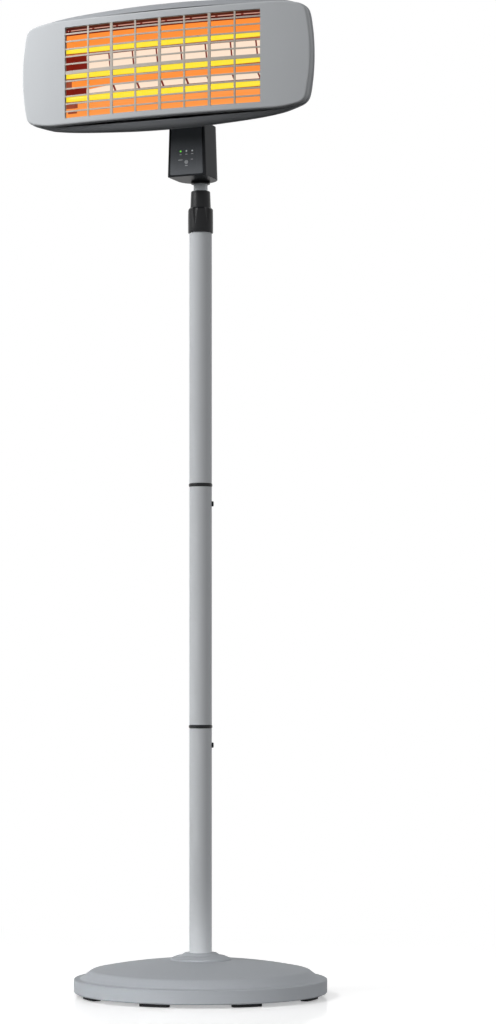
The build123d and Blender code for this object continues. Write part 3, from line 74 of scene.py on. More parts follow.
camera = bpy.data.objects.new("camera", bpy.data.cameras.new("camera"))
bpy.context.scene.collection.objects.link(camera)
camera.data.sensor_width = SENSOR
camera.data.lens = SENSOR * LENS_PIXELS / LONG_SIDE
camera.data.shift_x = SHIFT_RIGHT / LONG_SIDE
camera.data.shift_y = SHIFT_UP / LONG_SIDE
camera.data.clip_end = VIEW_LIMIT
camera.location = (VIEW_DISTANCE * math.sin(VIEW_TURN), -VIEW_DISTANCE * math.cos(VIEW_TURN), VIEW_HEIGHT)
camera.rotation_euler = (math.pi / 2, 0.0, VIEW_TURN)
bpy.context.scene.camera = camera
bpy.context.scene.view_settings.view_transform = "Standard"
print("lens", round(camera.data.lens, 2), "mm")

# %% [markdown]
# ## Helpers for meshes
# Most of the heater keeps its measured shape. The few pieces made anew are surfaces given by
# formulas: a grid of points worked out in one go as an array, with the faces numbered from the grid's
# rows and columns. A grid's columns go once round and close on themselves. Its rows may close as
# well, which makes a ring, or a single point closes each end.


# %% From a grid of points to a piece
def piece_from(name, points, faces, body, replaces=(), sharp=None):
    """A smooth mesh object from an (n, 3) array of metres and an (m, 4) array of corner numbers.

    A face whose last two corners are the same point is a triangle.  Edges that turn by more than
    sharp degrees stay crisp.
    """
    mesh = bpy.data.meshes.new(name)
    mesh.from_pydata(points.tolist(), [], [tuple(dict.fromkeys(f)) for f in faces.tolist()])
    mesh.polygons.foreach_set("use_smooth", np.ones(len(mesh.polygons), bool))
    if sharp is not None:
        mesh.set_sharp_from_angle(angle=math.radians(sharp))
    mesh.validate()
    piece = bpy.data.objects.new(name, mesh)
    bpy.context.scene.collection.objects.link(piece)
    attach(piece, body)
    if replaces:
        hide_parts(*replaces)
    return piece


def grid_faces(rows, columns, closed_rows=False):
    """Corner numbers of a rows x columns grid's quads: (i, j), (i, j+1), (i+1, j+1), (i+1, j)."""
    i, j = np.meshgrid(np.arange(rows if closed_rows else rows - 1), np.arange(columns), indexing="ij")
    i2, j2 = (i + 1) % rows, (j + 1) % columns
    quads = np.stack([i * columns + j, i * columns + j2, i2 * columns + j2, i2 * columns + j], axis=-1)
    return quads.reshape(-1, 4)


def joined(*parts):
    """Several (points, faces) pairs as one pair, with each part's corner numbers moved up."""
    points, faces, start = [], [], 0
    for p, f in parts:
        points.append(p)
        faces.append(f + start)
        start += len(p)
    return np.concatenate(points), np.concatenate(faces)


# %% Rounded and turned profiles
def rounded(corners, steps, closed=False):
    """A polyline whose corners (x, y, radius) are replaced by arcs.

    Each arc starts and ends where it touches the two sides: radius / tan(half the corner's angle)
    from the corner.  Between them the points go round the arc's centre in equal steps.
    """
    pts = np.array([c[:2] for c in corners], float)
    out = []
    count = len(corners)
    for k in range(count):
        radius = corners[k][2] if len(corners[k]) > 2 else 0.0
        if radius <= 0 or (not closed and k in (0, count - 1)):
            out.append(pts[k][None])
            continue
        a, b, c = pts[k - 1], pts[k], pts[(k + 1) % count]
        u, v = (a - b) / np.linalg.norm(a - b), (c - b) / np.linalg.norm(c - b)
        half = math.acos(np.clip(u @ v, -1, 1)) / 2
        centre = b + (u + v) / np.linalg.norm(u + v) * radius / math.sin(half)
        p, q = b + u * radius / math.tan(half), b + v * radius / math.tan(half)
        a0 = math.atan2(*(p - centre)[::-1])
        turn = (math.atan2(*(q - centre)[::-1]) - a0 + math.pi) % (2 * math.pi) - math.pi
        t = a0 + turn * np.linspace(0, 1, steps + 1)
        out.append(centre + radius * np.stack([np.cos(t), np.sin(t)], -1))
    return np.concatenate(out)


def turned(profile, segments):
    """A surface turned about Z: a profile point (r, z) in mm goes to (r cos t, r sin t, z) in metres."""
    t = np.linspace(0, 2 * np.pi, segments, endpoint=False)
    r, z = profile[:, 0, None], profile[:, 1, None]
    return np.stack([r * np.cos(t), r * np.sin(t), z + 0 * t], axis=-1) * MM


# %% [markdown]
# ## Finishes
# Real surfaces are never one flat colour. Powder coat has a fine pebbled skin and a faint cloudiness,
# and moulded plastic has a leathery grain. One shader group makes those effects, and each material
# sets its own scale and strength. It reads Object coordinates, so the grain stays with the piece.
# Image textures could do the same, but a noise formula has no seams and is sharp at any distance.


# %% Small helpers for shader nodes
COLOUR, FLOAT, VECTOR = "NodeSocketColor", "NodeSocketFloat", "NodeSocketVector"


def new_group(name, inputs, outputs):
    """An empty shader group with the named sockets, and its input and output nodes."""
    group = bpy.data.node_groups.new(name, "ShaderNodeTree")
    for label, kind, value in inputs:
        socket = group.interface.new_socket(label, in_out="INPUT", socket_type=kind)
        if value is not None:
            socket.default_value = value
    for label, kind in outputs:
        group.interface.new_socket(label, in_out="OUTPUT", socket_type=kind)
    return group, group.nodes.new("NodeGroupInput"), group.nodes.new("NodeGroupOutput")


def math_node(tree, operation, a, b=None):
    """One Math node, fed by sockets or numbers; gives its output socket."""
    node = tree.nodes.new("ShaderNodeMath")
    node.operation = operation
    for socket, value in zip(node.inputs, (a, b)):
        if isinstance(value, (int, float)):
            socket.default_value = value
        elif value is not None:
            tree.links.new(value, socket)
    return node.outputs[0]


def mixed(tree, mask, a, b):
    """A colour mixed from a to b by a mask; each may be a socket or a colour."""
    node = tree.nodes.new("ShaderNodeMix")
    node.data_type = "RGBA"
    for socket, value in ((node.inputs[0], mask), (node.inputs[6], a), (node.inputs[7], b)):
        if isinstance(value, bpy.types.NodeSocket):
            tree.links.new(value, socket)
        else:
            socket.default_value = value
    return node.outputs[2]


def noise(tree, vector, scale, detail):
    """A soft random value from 0 to 1, with about scale blotches to the metre."""
    node = tree.nodes.new("ShaderNodeTexNoise")
    node.inputs["Scale"].default_value = scale
    node.inputs["Detail"].default_value = detail
    tree.links.new(vector, node.inputs["Vector"])
    return node.outputs["Fac"]


# %% The skin group
CLOUD_SCALE, GRAIN_SCALE = 9.0, 900.0


def make_skin_group():
    """Powder coat or moulded skin.

    Colour = base colour x (1 + cloud x (slow noise - 0.5) + speckle x (fine noise - 0.5)).
    Height = grain noise, for a Bump node.  Roughness = base + spread x (slow noise - 0.5).
    """
    group, gin, gout = new_group(
        "skin",
        [("Vector", VECTOR, None), ("Color", COLOUR, None), ("Grain scale", FLOAT, GRAIN_SCALE),
         ("Cloud", FLOAT, 0.08), ("Speckle", FLOAT, 0.05), ("Roughness", FLOAT, 0.4), ("Spread", FLOAT, 0.1)],
        [("Color", COLOUR), ("Height", FLOAT), ("Roughness", FLOAT)],
    )
    slow = noise(group, gin.outputs["Vector"], CLOUD_SCALE, detail=4.0)
    fine = noise(group, gin.outputs["Vector"], GRAIN_SCALE, detail=2.0)
    group.links.new(gin.outputs["Grain scale"], fine.node.inputs["Scale"])
    cloud = math_node(group, "MULTIPLY", math_node(group, "SUBTRACT", slow, 0.5), gin.outputs["Cloud"])
    speck = math_node(group, "MULTIPLY", math_node(group, "SUBTRACT", fine, 0.5), gin.outputs["Speckle"])
    gain = math_node(group, "ADD", math_node(group, "ADD", cloud, speck), 1.0)
    scale = group.nodes.new("ShaderNodeVectorMath")
    scale.operation = "SCALE"
    group.links.new(gin.outputs["Color"], scale.inputs[0])
    group.links.new(gain, scale.inputs["Scale"])
    spread = math_node(group, "MULTIPLY", math_node(group, "SUBTRACT", slow, 0.5), gin.outputs["Spread"])
    group.links.new(scale.outputs[0], gout.inputs["Color"])
    group.links.new(fine, gout.inputs["Height"])
    group.links.new(math_node(group, "ADD", gin.outputs["Roughness"], spread), gout.inputs["Roughness"])
    return group


SKIN = make_skin_group()
print("skin group:", len(SKIN.nodes), "nodes")


# %% A material from the skin group
GRAIN_DEPTH = 0.0002


def new_material(name):
    """A material with its node tree, its Principled shader and its Object coordinates."""
    material = bpy.data.materials.new(name)
    material.use_nodes = True
    tree = material.node_tree
    shader = tree.nodes["Principled BSDF"]
    place = tree.nodes.new("ShaderNodeTexCoord").outputs["Object"]
    return material, tree, shader, place


def skin_material(name, colour, roughness, metallic=0.0, grain=GRAIN_SCALE, bump=0.1, cloud=0.06, speckle=0.05,
                  spread=0.08, shine=0.5):
    """Painted or moulded finish: the skin group feeds the Principled shader's own sockets."""
    material, tree, shader, place = new_material(name)
    group = tree.nodes.new("ShaderNodeGroup")
    group.node_tree = SKIN
    tree.links.new(place, group.inputs["Vector"])
    group.inputs["Color"].default_value = (*colour, 1.0)
    for label, value in (("Grain scale", grain), ("Cloud", cloud), ("Speckle", speckle),
                         ("Roughness", roughness), ("Spread", spread)):
        group.inputs[label].default_value = value
    tree.links.new(group.outputs["Color"], shader.inputs["Base Color"])
    tree.links.new(group.outputs["Roughness"], shader.inputs["Roughness"])
    shader.inputs["Metallic"].default_value = metallic
    shader.inputs["Specular IOR Level"].default_value = shine
    node = tree.nodes.new("ShaderNodeBump")
    node.inputs["Strength"].default_value = bump
    node.inputs["Distance"].default_value = GRAIN_DEPTH
    tree.links.new(group.outputs["Height"], node.inputs["Height"])
    tree.links.new(node.outputs["Normal"], shader.inputs["Normal"])
    return material


def linear(*rgb):
    """Screen values from 0 to 255 as linear light: ((v + 0.055) / 1.055) ^ 2.4 above the toe."""
    v = np.array(rgb, float) / 255
    return tuple(np.where(v > 0.04045, ((v + 0.055) / 1.055) ** 2.4, v / 12.92).tolist())


# %% Painted, moulded and plated finishes
silver_coat = skin_material("silver_coat", linear(187, 190, 193), 0.5, grain=1600, bump=0.05, shine=0.05)
# The rear shell wears the bezel's silver paint; this copy is darker as painted shade, for the shell's shaded
# underside.
shell_coat_painted_shade = skin_material("shell_coat_painted_shade", linear(160, 163, 167), 0.5, grain=1600, bump=0.05, shine=0.05)
# The poles wear the same grey paint as the base; this copy is lighter as painted light, for the brighter light
# on the pole.
pole_coat_painted_light = skin_material("pole_coat_painted_light", linear(204, 207, 210), 0.5, grain=1800, bump=0.04, shine=0.05)
grey_paint = skin_material("grey_paint", linear(171, 175, 180), 0.55, grain=1400, bump=0.10, shine=0.05)
mast_coat = skin_material("mast_coat", linear(214, 219, 223), 0.4, grain=1500, bump=0.05, shine=0.3)
black_plastic = skin_material("black_plastic", linear(57, 59, 62), 0.3, grain=1200, bump=0.05,
                              speckle=0.1, shine=0.03)
collar_plastic = skin_material("collar_plastic", linear(30, 31, 33), 0.32, grain=1400, bump=0.08,
                               speckle=0.1, shine=0.2)
panel_plastic = skin_material("panel_plastic", linear(106, 110, 115), 0.38, grain=1500, bump=0.04, shine=0.3)
film = skin_material("control_film", linear(106, 110, 115), 0.45, grain=2200, bump=0.05, shine=0.3)
rubber = skin_material("rubber", linear(26, 27, 29), 0.75, grain=700, bump=0.3, speckle=0.2, shine=0.2)
steel = skin_material("zinc_steel", linear(165, 167, 170), 0.35, metallic=0.9, grain=500, bump=0.06, cloud=0.2)
iron = skin_material("cast_iron", linear(60, 60, 62), 0.7, metallic=0.3, grain=400, bump=0.5, cloud=0.3)
alloy = skin_material("cast_alloy", linear(38, 39, 41), 0.5, grain=700, bump=0.2, cloud=0.1, shine=0.3)
# The guard's own paint is light grey; its warm tint is painted light from the orange glow behind it, which
# lights nothing.
guard_coat_with_painted_glow = skin_material("guard_coat_with_painted_glow", linear(186, 178, 168), 0.5, grain=1600, bump=0.05, shine=0.2)
white_plastic = skin_material("white_plastic", linear(225, 222, 214), 0.45, grain=900, bump=0.1)
ceramic = skin_material("ceramic", linear(222, 216, 202), 0.6, grain=600, bump=0.2)
board_green = skin_material("circuit_board", linear(30, 110, 66), 0.4, grain=500, bump=0.2, speckle=0.3)
nylon = skin_material("nylon", linear(214, 210, 198), 0.4, grain=900, bump=0.05)
print("finishes", len(bpy.data.materials))

# %% [markdown]
# ## The glow and its painted reflections
# Three tubes light a folded mirror behind the guard. What the eye sees there is a stack of level
# bands: orange where a fold mirrors a tube at a slant, almost white where it faces one, and dark red
# where it mirrors the cold wall. Ray tracing such a mirror gives noise and needs many samples, so
# the bands are written down instead, as a ramp over height, with thin dark lines where the guard's
# bars are mirrored. The sheet gives off those colours itself, so they look the same from any side.
# The folds lie at different depths behind the bowed face, so each place on them is first carried
# forward to the face, towards the one fixed point that the photograph was taken from, and the bands
# are level there. The point never moves, so the bands stay where they are on the sheet.

# %% Bands, stripes and masks
ORANGE, PEACH, DEEP = (1.0, 0.283, 0.045), (0.98, 0.776, 0.61), (0.188, 0.0097, 0.0048)
EMBER, YELLOW, PINK = (0.050, 0.0015, 0.0020), (1.0, 0.79, 0.032), (0.70, 0.36, 0.28)
BROWN, AMBER = (0.305, 0.061, 0.032), (1.0, 0.36, 0.10)


def band_ramp(tree, value, low, high, bands):
    """A ramp of hard steps: bands are (upper height, colour) from the top down, between low and high."""
    place = tree.nodes.new("ShaderNodeMapRange")
    place.inputs["From Min"].default_value = low
    place.inputs["From Max"].default_value = high
    tree.links.new(value, place.inputs["Value"])
    ramp = tree.nodes.new("ShaderNodeValToRGB")
    ramp.color_ramp.interpolation = "CONSTANT"
    stops = ramp.color_ramp.elements
    stops.remove(stops[1])
    stops[0].position, stops[0].color = 0.0, (*bands[-1][1], 1)
    for (_, colour), (foot, _) in zip(bands[:-1], bands[1:]):
        stops.new((foot - low) / (high - low)).color = (*colour, 1)
    tree.links.new(place.outputs[0], ramp.inputs[0])
    return ramp.outputs[0]


def both(tree, *masks):
    """1 where every mask is 1: their product."""
    out = masks[0]
    for mask in masks[1:]:
        out = math_node(tree, "MULTIPLY", out, mask)
    return out


def above(tree, value, limit):
    """1 where value > limit."""
    return math_node(tree, "GREATER_THAN", value, limit)


def below(tree, value, limit):
    """1 where value < limit."""
    return math_node(tree, "LESS_THAN", value, limit)


def between(tree, value, low, high):
    """1 where low < value < high."""
    return both(tree, above(tree, value, low), below(tree, value, high))


def stripes(tree, across, height, first, pitch, half_width, lean, level):
    """Thin upright lines: 1 where |across - lean x (level - height) - first - k x pitch| < half_width.

    The fraction of (distance / pitch + 20) tells how far through a pitch a place is.  The 20 keeps it
    above zero, and half a pitch is added to the distance, so a line lies where the fraction is 0.5.
    """
    drop = math_node(tree, "MULTIPLY", math_node(tree, "SUBTRACT", level, height), lean)
    shifted = math_node(tree, "SUBTRACT", math_node(tree, "SUBTRACT", across, drop), first - pitch / 2)
    part = math_node(tree, "FRACT", math_node(tree, "ADD", math_node(tree, "DIVIDE", shifted, pitch), 20.0))
    off = math_node(tree, "ABSOLUTE", math_node(tree, "SUBTRACT", part, 0.5))
    return below(tree, off, half_width / pitch)


# %% Where the bands and the dark lines lie
# All in metres: the face's bow, the point that places are carried towards, then the bands' edges.
FACE_RADIUS, FACE_FRONT = 2.0, 0.186
POINT_AWAY, POINT_HEIGHT, POINT_SIDE = 4.6, 0.527, 1.973
RAMP_LOW, RAMP_HIGH = 1.52, 1.72
RIM_TOP, RIM_FOOT = 1.6926, 1.6904
TOP_ROW, TOP_FOOT = 1.6880, 1.6830
RIDGE_DARK, RIDGE_ROWS, RIDGE_PALE = 1.6482, 1.6470, 1.6449
SIXTH_ROWS, NINTH_ROW, NINTH_FOOT, LAST_ROWS = 1.6210, 1.5920, 1.5795, 1.5635

# The mirrored bars: first line, pitch, half width, lean and the height where the lean is nought.
RIDGE_LINES = (-0.0963, 0.0454, 0.0014, 0.11, 1.6449)
NINTH_LINES_LEFT = (-0.0877, 0.0459, 0.0019, 0.42, 1.5901)
NINTH_LINES_RIGHT = (-0.0932, 0.0455, 0.0015, 0.42, 1.5901)
RIM_LINES = (-0.1266, 0.0464, 0.0022, 0.0, 0.0)
NINTH_FROM, NINTH_SPLIT = -0.12, 0.07

# The rows' left ends, dark with the painted reflection and shade of the end wall: foot, top and how far right
# they reach.
COLD_END = -0.1400
DARK_ENDS = [
    (SIXTH_ROWS, RIDGE_ROWS, COLD_END), (NINTH_FOOT, NINTH_ROW, COLD_END),
    (RIDGE_ROWS, 1.6842, -0.1795), (RIM_FOOT, RIM_TOP, -0.1770),
]
BROWN_ENDS = [(NINTH_ROW, SIXTH_ROWS, -0.1695), (1.5638, 1.5665, -0.1440), (1.5562, 1.5638, -0.1580)]
SPOT_HEIGHTS, SPOT_SIDES = (1.5472, 1.5536), (-0.1770, -0.1590)

# The ninth row is orange above a slanting line at its left end, the painted reflection of a slanted edge.
LEDGE_FROM, LEDGE_TO, LEDGE_HEIGHT, LEDGE_SLOPE = -0.143, -0.099, 1.5862, 0.09

# The last rows have level streaks of a paler orange, painted reflections as well: blotches to the metre each
# way, and their share.
STREAKS, STREAK_SHARE = (14.0, 14.0, 420.0), 0.9
print("ramp from", RAMP_LOW, "to", RAMP_HIGH, "m")


# %% The group that colours the mirror
def make_painted_reflection_group():
    """Colour of the painted reflections at a place on the folds.

    Depth behind the face: s = y + front - radius + sqrt(radius^2 - x^2).  Carried forward to the face,
    the height is u = z - (z - point's height) s / away and the side place is v = x + (point's side - x)
    s / away.
    A ramp over u gives the bands, then masks over u and v lay the dark lines and ends over them.
    """
    group, gin, gout = new_group("painted_reflection_bands", [("Vector", VECTOR, None)], [("Color", COLOUR)])
    split = group.nodes.new("ShaderNodeSeparateXYZ")
    group.links.new(gin.outputs[0], split.inputs[0])
    x, y, z = split.outputs
    squared = math_node(group, "MULTIPLY", x, x)
    root = math_node(group, "SQRT", math_node(group, "SUBTRACT", FACE_RADIUS**2, squared))
    depth = math_node(group, "ADD", math_node(group, "ADD", y, FACE_FRONT - FACE_RADIUS), root)
    share = math_node(group, "DIVIDE", depth, POINT_AWAY)
    drop = math_node(group, "MULTIPLY", math_node(group, "SUBTRACT", z, POINT_HEIGHT), share)
    u = math_node(group, "SUBTRACT", z, drop)
    side = math_node(group, "MULTIPLY", math_node(group, "SUBTRACT", POINT_SIDE, x), share)
    v = math_node(group, "ADD", x, side)

    def row_end(foot, top, edge):
        """1 on the row between two heights, left of a side place."""
        return both(group, between(group, u, foot, top), below(group, v, edge))

    colour = band_ramp(group, u, RAMP_LOW, RAMP_HIGH, [
        (RAMP_HIGH, EMBER), (RIM_TOP, PINK), (RIM_FOOT, EMBER), (TOP_ROW, DEEP), (TOP_FOOT, ORANGE),
        (RIDGE_DARK, DEEP), (RIDGE_PALE, PEACH), (SIXTH_ROWS, ORANGE), (NINTH_ROW, PEACH),
        (NINTH_FOOT, DEEP), (LAST_ROWS, ORANGE),
    ])
    streak = group.nodes.new("ShaderNodeMapping")
    streak.inputs["Scale"].default_value = STREAKS
    group.links.new(gin.outputs[0], streak.inputs["Vector"])
    mottle = noise(group, streak.outputs[0], 1.0, detail=2.0)
    warm = both(group, below(group, u, LAST_ROWS), math_node(group, "MULTIPLY", mottle, STREAK_SHARE))
    colour = mixed(group, warm, colour, (*AMBER, 1))

    ridge = between(group, u, SIXTH_ROWS, RIDGE_ROWS)
    ninth = between(group, u, NINTH_FOOT, NINTH_ROW)
    rise = math_node(group, "MULTIPLY", math_node(group, "SUBTRACT", v, LEDGE_FROM), LEDGE_SLOPE)
    ledge = math_node(group, "ADD", rise, LEDGE_HEIGHT)
    over_ledge = both(group, ninth, below(group, v, LEDGE_TO), above(group, u, ledge))
    colour = mixed(group, over_ledge, colour, (*ORANGE, 1))
    for mask in (
        both(group, ridge, stripes(group, v, u, *RIDGE_LINES)),
        both(group, ninth, between(group, v, NINTH_FROM, NINTH_SPLIT), stripes(group, v, u, *NINTH_LINES_LEFT)),
        both(group, ninth, above(group, v, NINTH_SPLIT), stripes(group, v, u, *NINTH_LINES_RIGHT)),
        both(group, between(group, u, RIM_FOOT, RIM_TOP), stripes(group, v, u, *RIM_LINES)),
        *(row_end(*end) for end in DARK_ENDS),
    ):
        colour = mixed(group, mask, colour, (*DEEP, 1))
    for mask in (
        *(row_end(*end) for end in BROWN_ENDS),
        both(group, between(group, u, *SPOT_HEIGHTS), between(group, v, *SPOT_SIDES)),
    ):
        colour = mixed(group, mask, colour, (*BROWN, 1))
    group.links.new(colour, gout.inputs[0])
    return group


# The bands of painted reflection on the mirror's folds.
PAINTED_REFLECTIONS = make_painted_reflection_group()
print("glow group:", len(PAINTED_REFLECTIONS.nodes), "nodes")


# %% The mirror sheet's material
MIRROR_END, MIRROR_TOP, FACING_FRONT = 0.1882, 1.7011, 0.05
SHEET_GRAIN = 300.0
SHEET_DARK, SHEET_PALE = (0.015, 0.014, 0.014, 1), (0.03, 0.028, 0.026, 1)


def seen_rays(tree):
    """1 for what the camera sees straight, in gloss or through glass, and 0 for scattered light."""
    path = tree.nodes.new("ShaderNodeLightPath")
    seen = math_node(tree, "MAXIMUM", path.outputs["Is Camera Ray"], path.outputs["Is Transmission Ray"])
    return math_node(tree, "MAXIMUM", seen, path.outputs["Is Glossy Ray"])


def make_mirror():
    """Dark rolled sheet that gives off the painted reflections where it faces front, between the two end
    plates.

    The painted reflections are given off to seen rays only, so they light nothing near them.
    """
    material, tree, shader, place = new_material("mirror_painted_reflections")
    split = tree.nodes.new("ShaderNodeSeparateXYZ")
    tree.links.new(place, split.inputs[0])
    facing = tree.nodes.new("ShaderNodeSeparateXYZ")
    tree.links.new(place.node.outputs["Normal"], facing.inputs[0])
    bands = tree.nodes.new("ShaderNodeGroup")
    bands.node_tree = PAINTED_REFLECTIONS
    tree.links.new(place, bands.inputs[0])
    inside = both(
        tree,
        below(tree, math_node(tree, "ABSOLUTE", split.outputs[0]), MIRROR_END),
        below(tree, facing.outputs[1], FACING_FRONT),
        below(tree, split.outputs[2], MIRROR_TOP),
    )
    tree.links.new(mixed(tree, inside, (0, 0, 0, 1), bands.outputs[0]), shader.inputs["Emission Color"])
    tree.links.new(seen_rays(tree), shader.inputs["Emission Strength"])
    grain = noise(tree, place, SHEET_GRAIN, detail=3.0)
    tree.links.new(mixed(tree, grain, SHEET_DARK, SHEET_PALE), shader.inputs["Base Color"])
    shader.inputs["Roughness"].default_value = 0.5
    shader.inputs["Specular IOR Level"].default_value = 0.1
    return material


mirror = make_mirror()
print("mirror:", len(mirror.node_tree.nodes), "nodes")


# %% The tubes' material
HEAD_CENTRE = sum(v[2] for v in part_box("front_bezel")) / 2
TUBE_RISES = (0.0395, -0.0043, -0.0448)
TUBE_RADIUS, TUBE_LIT_END = 0.006, 0.194
BAND_RISE, EDGE_SHARE = 0.02, 0.80
TUBES_LOW, TUBES_HIGH = 1.55, 1.69
COIL_SCALE, COIL_SHARE, COIL_COLOUR = 60.0, 0.10, (1.0, 0.55, 0.02, 1)


def make_quartz():
    """Glowing tube: yellow all round, with a thin brown edge underneath and faint rings of the coil inside.

    The brown starts 0.8 of the radius under each tube's axis.  The rings are waves along X.
    """
    material, tree, shader, place = new_material("glowing_quartz")
    split = tree.nodes.new("ShaderNodeSeparateXYZ")
    tree.links.new(place, split.inputs[0])
    x, z = split.outputs[0], split.outputs[2]
    bands = []
    for rise in TUBE_RISES:
        axis = HEAD_CENTRE + rise
        bands += [(axis + BAND_RISE, YELLOW), (axis - TUBE_RADIUS * EDGE_SHARE, BROWN)]
    colour = band_ramp(tree, z, TUBES_LOW, TUBES_HIGH, bands)
    wave = tree.nodes.new("ShaderNodeTexWave")
    wave.wave_type = "BANDS"
    wave.bands_direction = "X"
    wave.inputs["Scale"].default_value = COIL_SCALE
    tree.links.new(place, wave.inputs["Vector"])
    rings = math_node(tree, "MULTIPLY", wave.outputs["Fac"], COIL_SHARE)
    colour = mixed(tree, rings, colour, COIL_COLOUR)
    cold = above(tree, math_node(tree, "ABSOLUTE", x), TUBE_LIT_END)
    colour = mixed(tree, cold, colour, (*DEEP, 1))
    tree.links.new(colour, shader.inputs["Emission Color"])
    tree.links.new(seen_rays(tree), shader.inputs["Emission Strength"])
    shader.inputs["Base Color"].default_value = (0.03, 0.02, 0.01, 1)
    shader.inputs["Roughness"].default_value = 0.12
    return material


quartz = make_quartz()
print("head centre", round(HEAD_CENTRE, 5))


# %% Small lamps on the panel
def make_lens_lit_or_painted_light(name, body, light, strength):
    """A moulded lens with a slight cloud that gives off a little light: its own light when lit, painted light
    on an unlit lens or a print.
    """
    material = skin_material(name, body, 0.25, grain=3000, bump=0.1)
    shader = material.node_tree.nodes["Principled BSDF"]
    shader.inputs["Emission Color"].default_value = (*light, 1)
    shader.inputs["Emission Strength"].default_value = strength
    return material


led_lit = make_lens_lit_or_painted_light("led_lit", linear(60, 150, 50), (0.16, 0.80, 0.05), 1.0)
# The unlit lamp's lens and the printed marks give off painted light, which makes them read pale.
led_off_painted_light = make_lens_lit_or_painted_light("led_off_painted_light", linear(225, 230, 232), (0.50, 0.53, 0.54), 0.35)
print_white_painted_light = make_lens_lit_or_painted_light("print_white_painted_light", linear(205, 208, 210), (0.50, 0.52, 0.53), 0.15)
button_cap = skin_material("button_cap", linear(196, 199, 202), 0.4, grain=1500, bump=0.05)
print("finishes", len(bpy.data.materials))

# %% Which finish goes where: by material slot, then by node
FINISH = {
    "grey_paint": grey_paint, "grey_plastic": grey_paint, "zinc_steel": steel, "fasteners": steel,
    "cast_iron": iron, "rubber": rubber, "black_plastic": black_plastic, "panel_plastic": panel_plastic,
    "spring_steel": steel, "mast_steel": mast_coat, "label_film": film, "button_plastic": button_cap,
    "circuit_board": board_green, "white_plastic": white_plastic, "cast_aluminium": alloy,
    "washer_nylon": nylon, "silver_coat": silver_coat, "guard_steel": guard_coat_with_painted_glow, "ceramic": ceramic,
    "filament": steel, "mirror_aluminium": mirror, "quartz": quartz, "led_green": led_lit,
    "led_grey": led_off_painted_light,
}
FINISH_OF_NODE = {
    "end_channels": mirror, "rear_shell": shell_coat_painted_shade,
    "lower_pole": pole_coat_painted_light, "middle_pole": pole_coat_painted_light, "upper_pole": pole_coat_painted_light,
    "lower_joint_ring": collar_plastic, "upper_joint_ring": collar_plastic,
}
print("slots", len(FINISH), "and", len(FINISH_OF_NODE), "nodes with a finish of their own")

# %% [markdown]
# ## The measured pieces that stay
# The base, the pole, the mast, the box, the whole head and all the parts inside keep their measured
# shape. Their meshes come as loose triangles, so a small modifier joins the corners and shades the
# soft curves smoothly, while edges sharper than 30 degrees stay crisp. A second one weights each
# corner's shading by the size of its faces, so that flat faces look flat. Neither changes the mesh.


# %% Smooth shading as a modifier
MERGE_DISTANCE, CRISP_ANGLE = 0.00001, math.radians(30)


def make_smooth_group():
    """Joins corners nearer than 0.01 mm, then shades faces smooth and edges over 30 degrees sharp."""
    group = bpy.data.node_groups.new("smooth_by_angle", "GeometryNodeTree")
    group.interface.new_socket("Geometry", in_out="INPUT", socket_type="NodeSocketGeometry")
    group.interface.new_socket("Geometry", in_out="OUTPUT", socket_type="NodeSocketGeometry")
    gin, gout = group.nodes.new("NodeGroupInput"), group.nodes.new("NodeGroupOutput")
    merge = group.nodes.new("GeometryNodeMergeByDistance")
    merge.inputs["Distance"].default_value = MERGE_DISTANCE
    angle = group.nodes.new("GeometryNodeInputMeshEdgeAngle")
    under = group.nodes.new("FunctionNodeCompare")
    under.data_type = "FLOAT"
    under.operation = "LESS_THAN"
    under.inputs[1].default_value = CRISP_ANGLE
    faces = group.nodes.new("GeometryNodeSetShadeSmooth")
    edges = group.nodes.new("GeometryNodeSetShadeSmooth")
    edges.domain = "EDGE"
    group.links.new(gin.outputs[0], merge.inputs["Geometry"])
    group.links.new(merge.outputs[0], faces.inputs["Geometry"])
    group.links.new(faces.outputs[0], edges.inputs["Geometry"])
    group.links.new(angle.outputs["Unsigned Angle"], under.inputs[0])
    group.links.new(under.outputs[0], edges.inputs["Shade Smooth"])
    group.links.new(edges.outputs[0], gout.inputs[0])
    return group


SMOOTH = make_smooth_group()
slot_of = {s["node"]: s["material_slot"] for s in frame["record"]["subparts"]}
for name, node in nodes.items():
    node.data.materials.clear()
    node.data.materials.append(FINISH_OF_NODE.get(name, FINISH[slot_of[name]]))
    node.modifiers.new("smooth", "NODES").node_group = SMOOTH
    weighted = node.modifiers.new("weighted", "WEIGHTED_NORMAL")
    weighted.mode = "FACE_AREA"
    weighted.keep_sharp = True
print("dressed", len(nodes), "measured pieces")

# %% [markdown]
# ## The twist collar and the nose above it
# The real height lock is a moulded nylon grip over a tapered collet. Six finger flutes run down from
# the grip's top edge: wide and deep at the top, narrowing to a point two thirds of the way down, with
# crisp edges that catch the light. They could be cut from the body with tapered cutters, but a
# formula over angle and height gives the curved sides and the point in one step, so the grip is the
# CAD collar's own profile turned about the pole, with the flutes taken off its outer wall.


# %% The fluted collar
# Profiles are (radius, height) in mm; a third number rounds that corner.
COLLAR_LOW, COLLAR_TOP = 1355.0, 1399.0
GRIP, FOOT_BORE, TOP_BORE = 22.25, 20.3, 18.55
FLUTES, FLUTE_TURN = 6, math.radians(-4.0)
FLUTE_LENGTH, FLUTE_DEPTH, FLUTE_HALF_WIDTH, FLUTE_FADE = 31.0, 1.9, 5.4, 19.0
COLLAR_SEGMENTS, WALL_ROWS, BROW_ROWS = 480, 64, 12
CRISP_DEGREES = 28


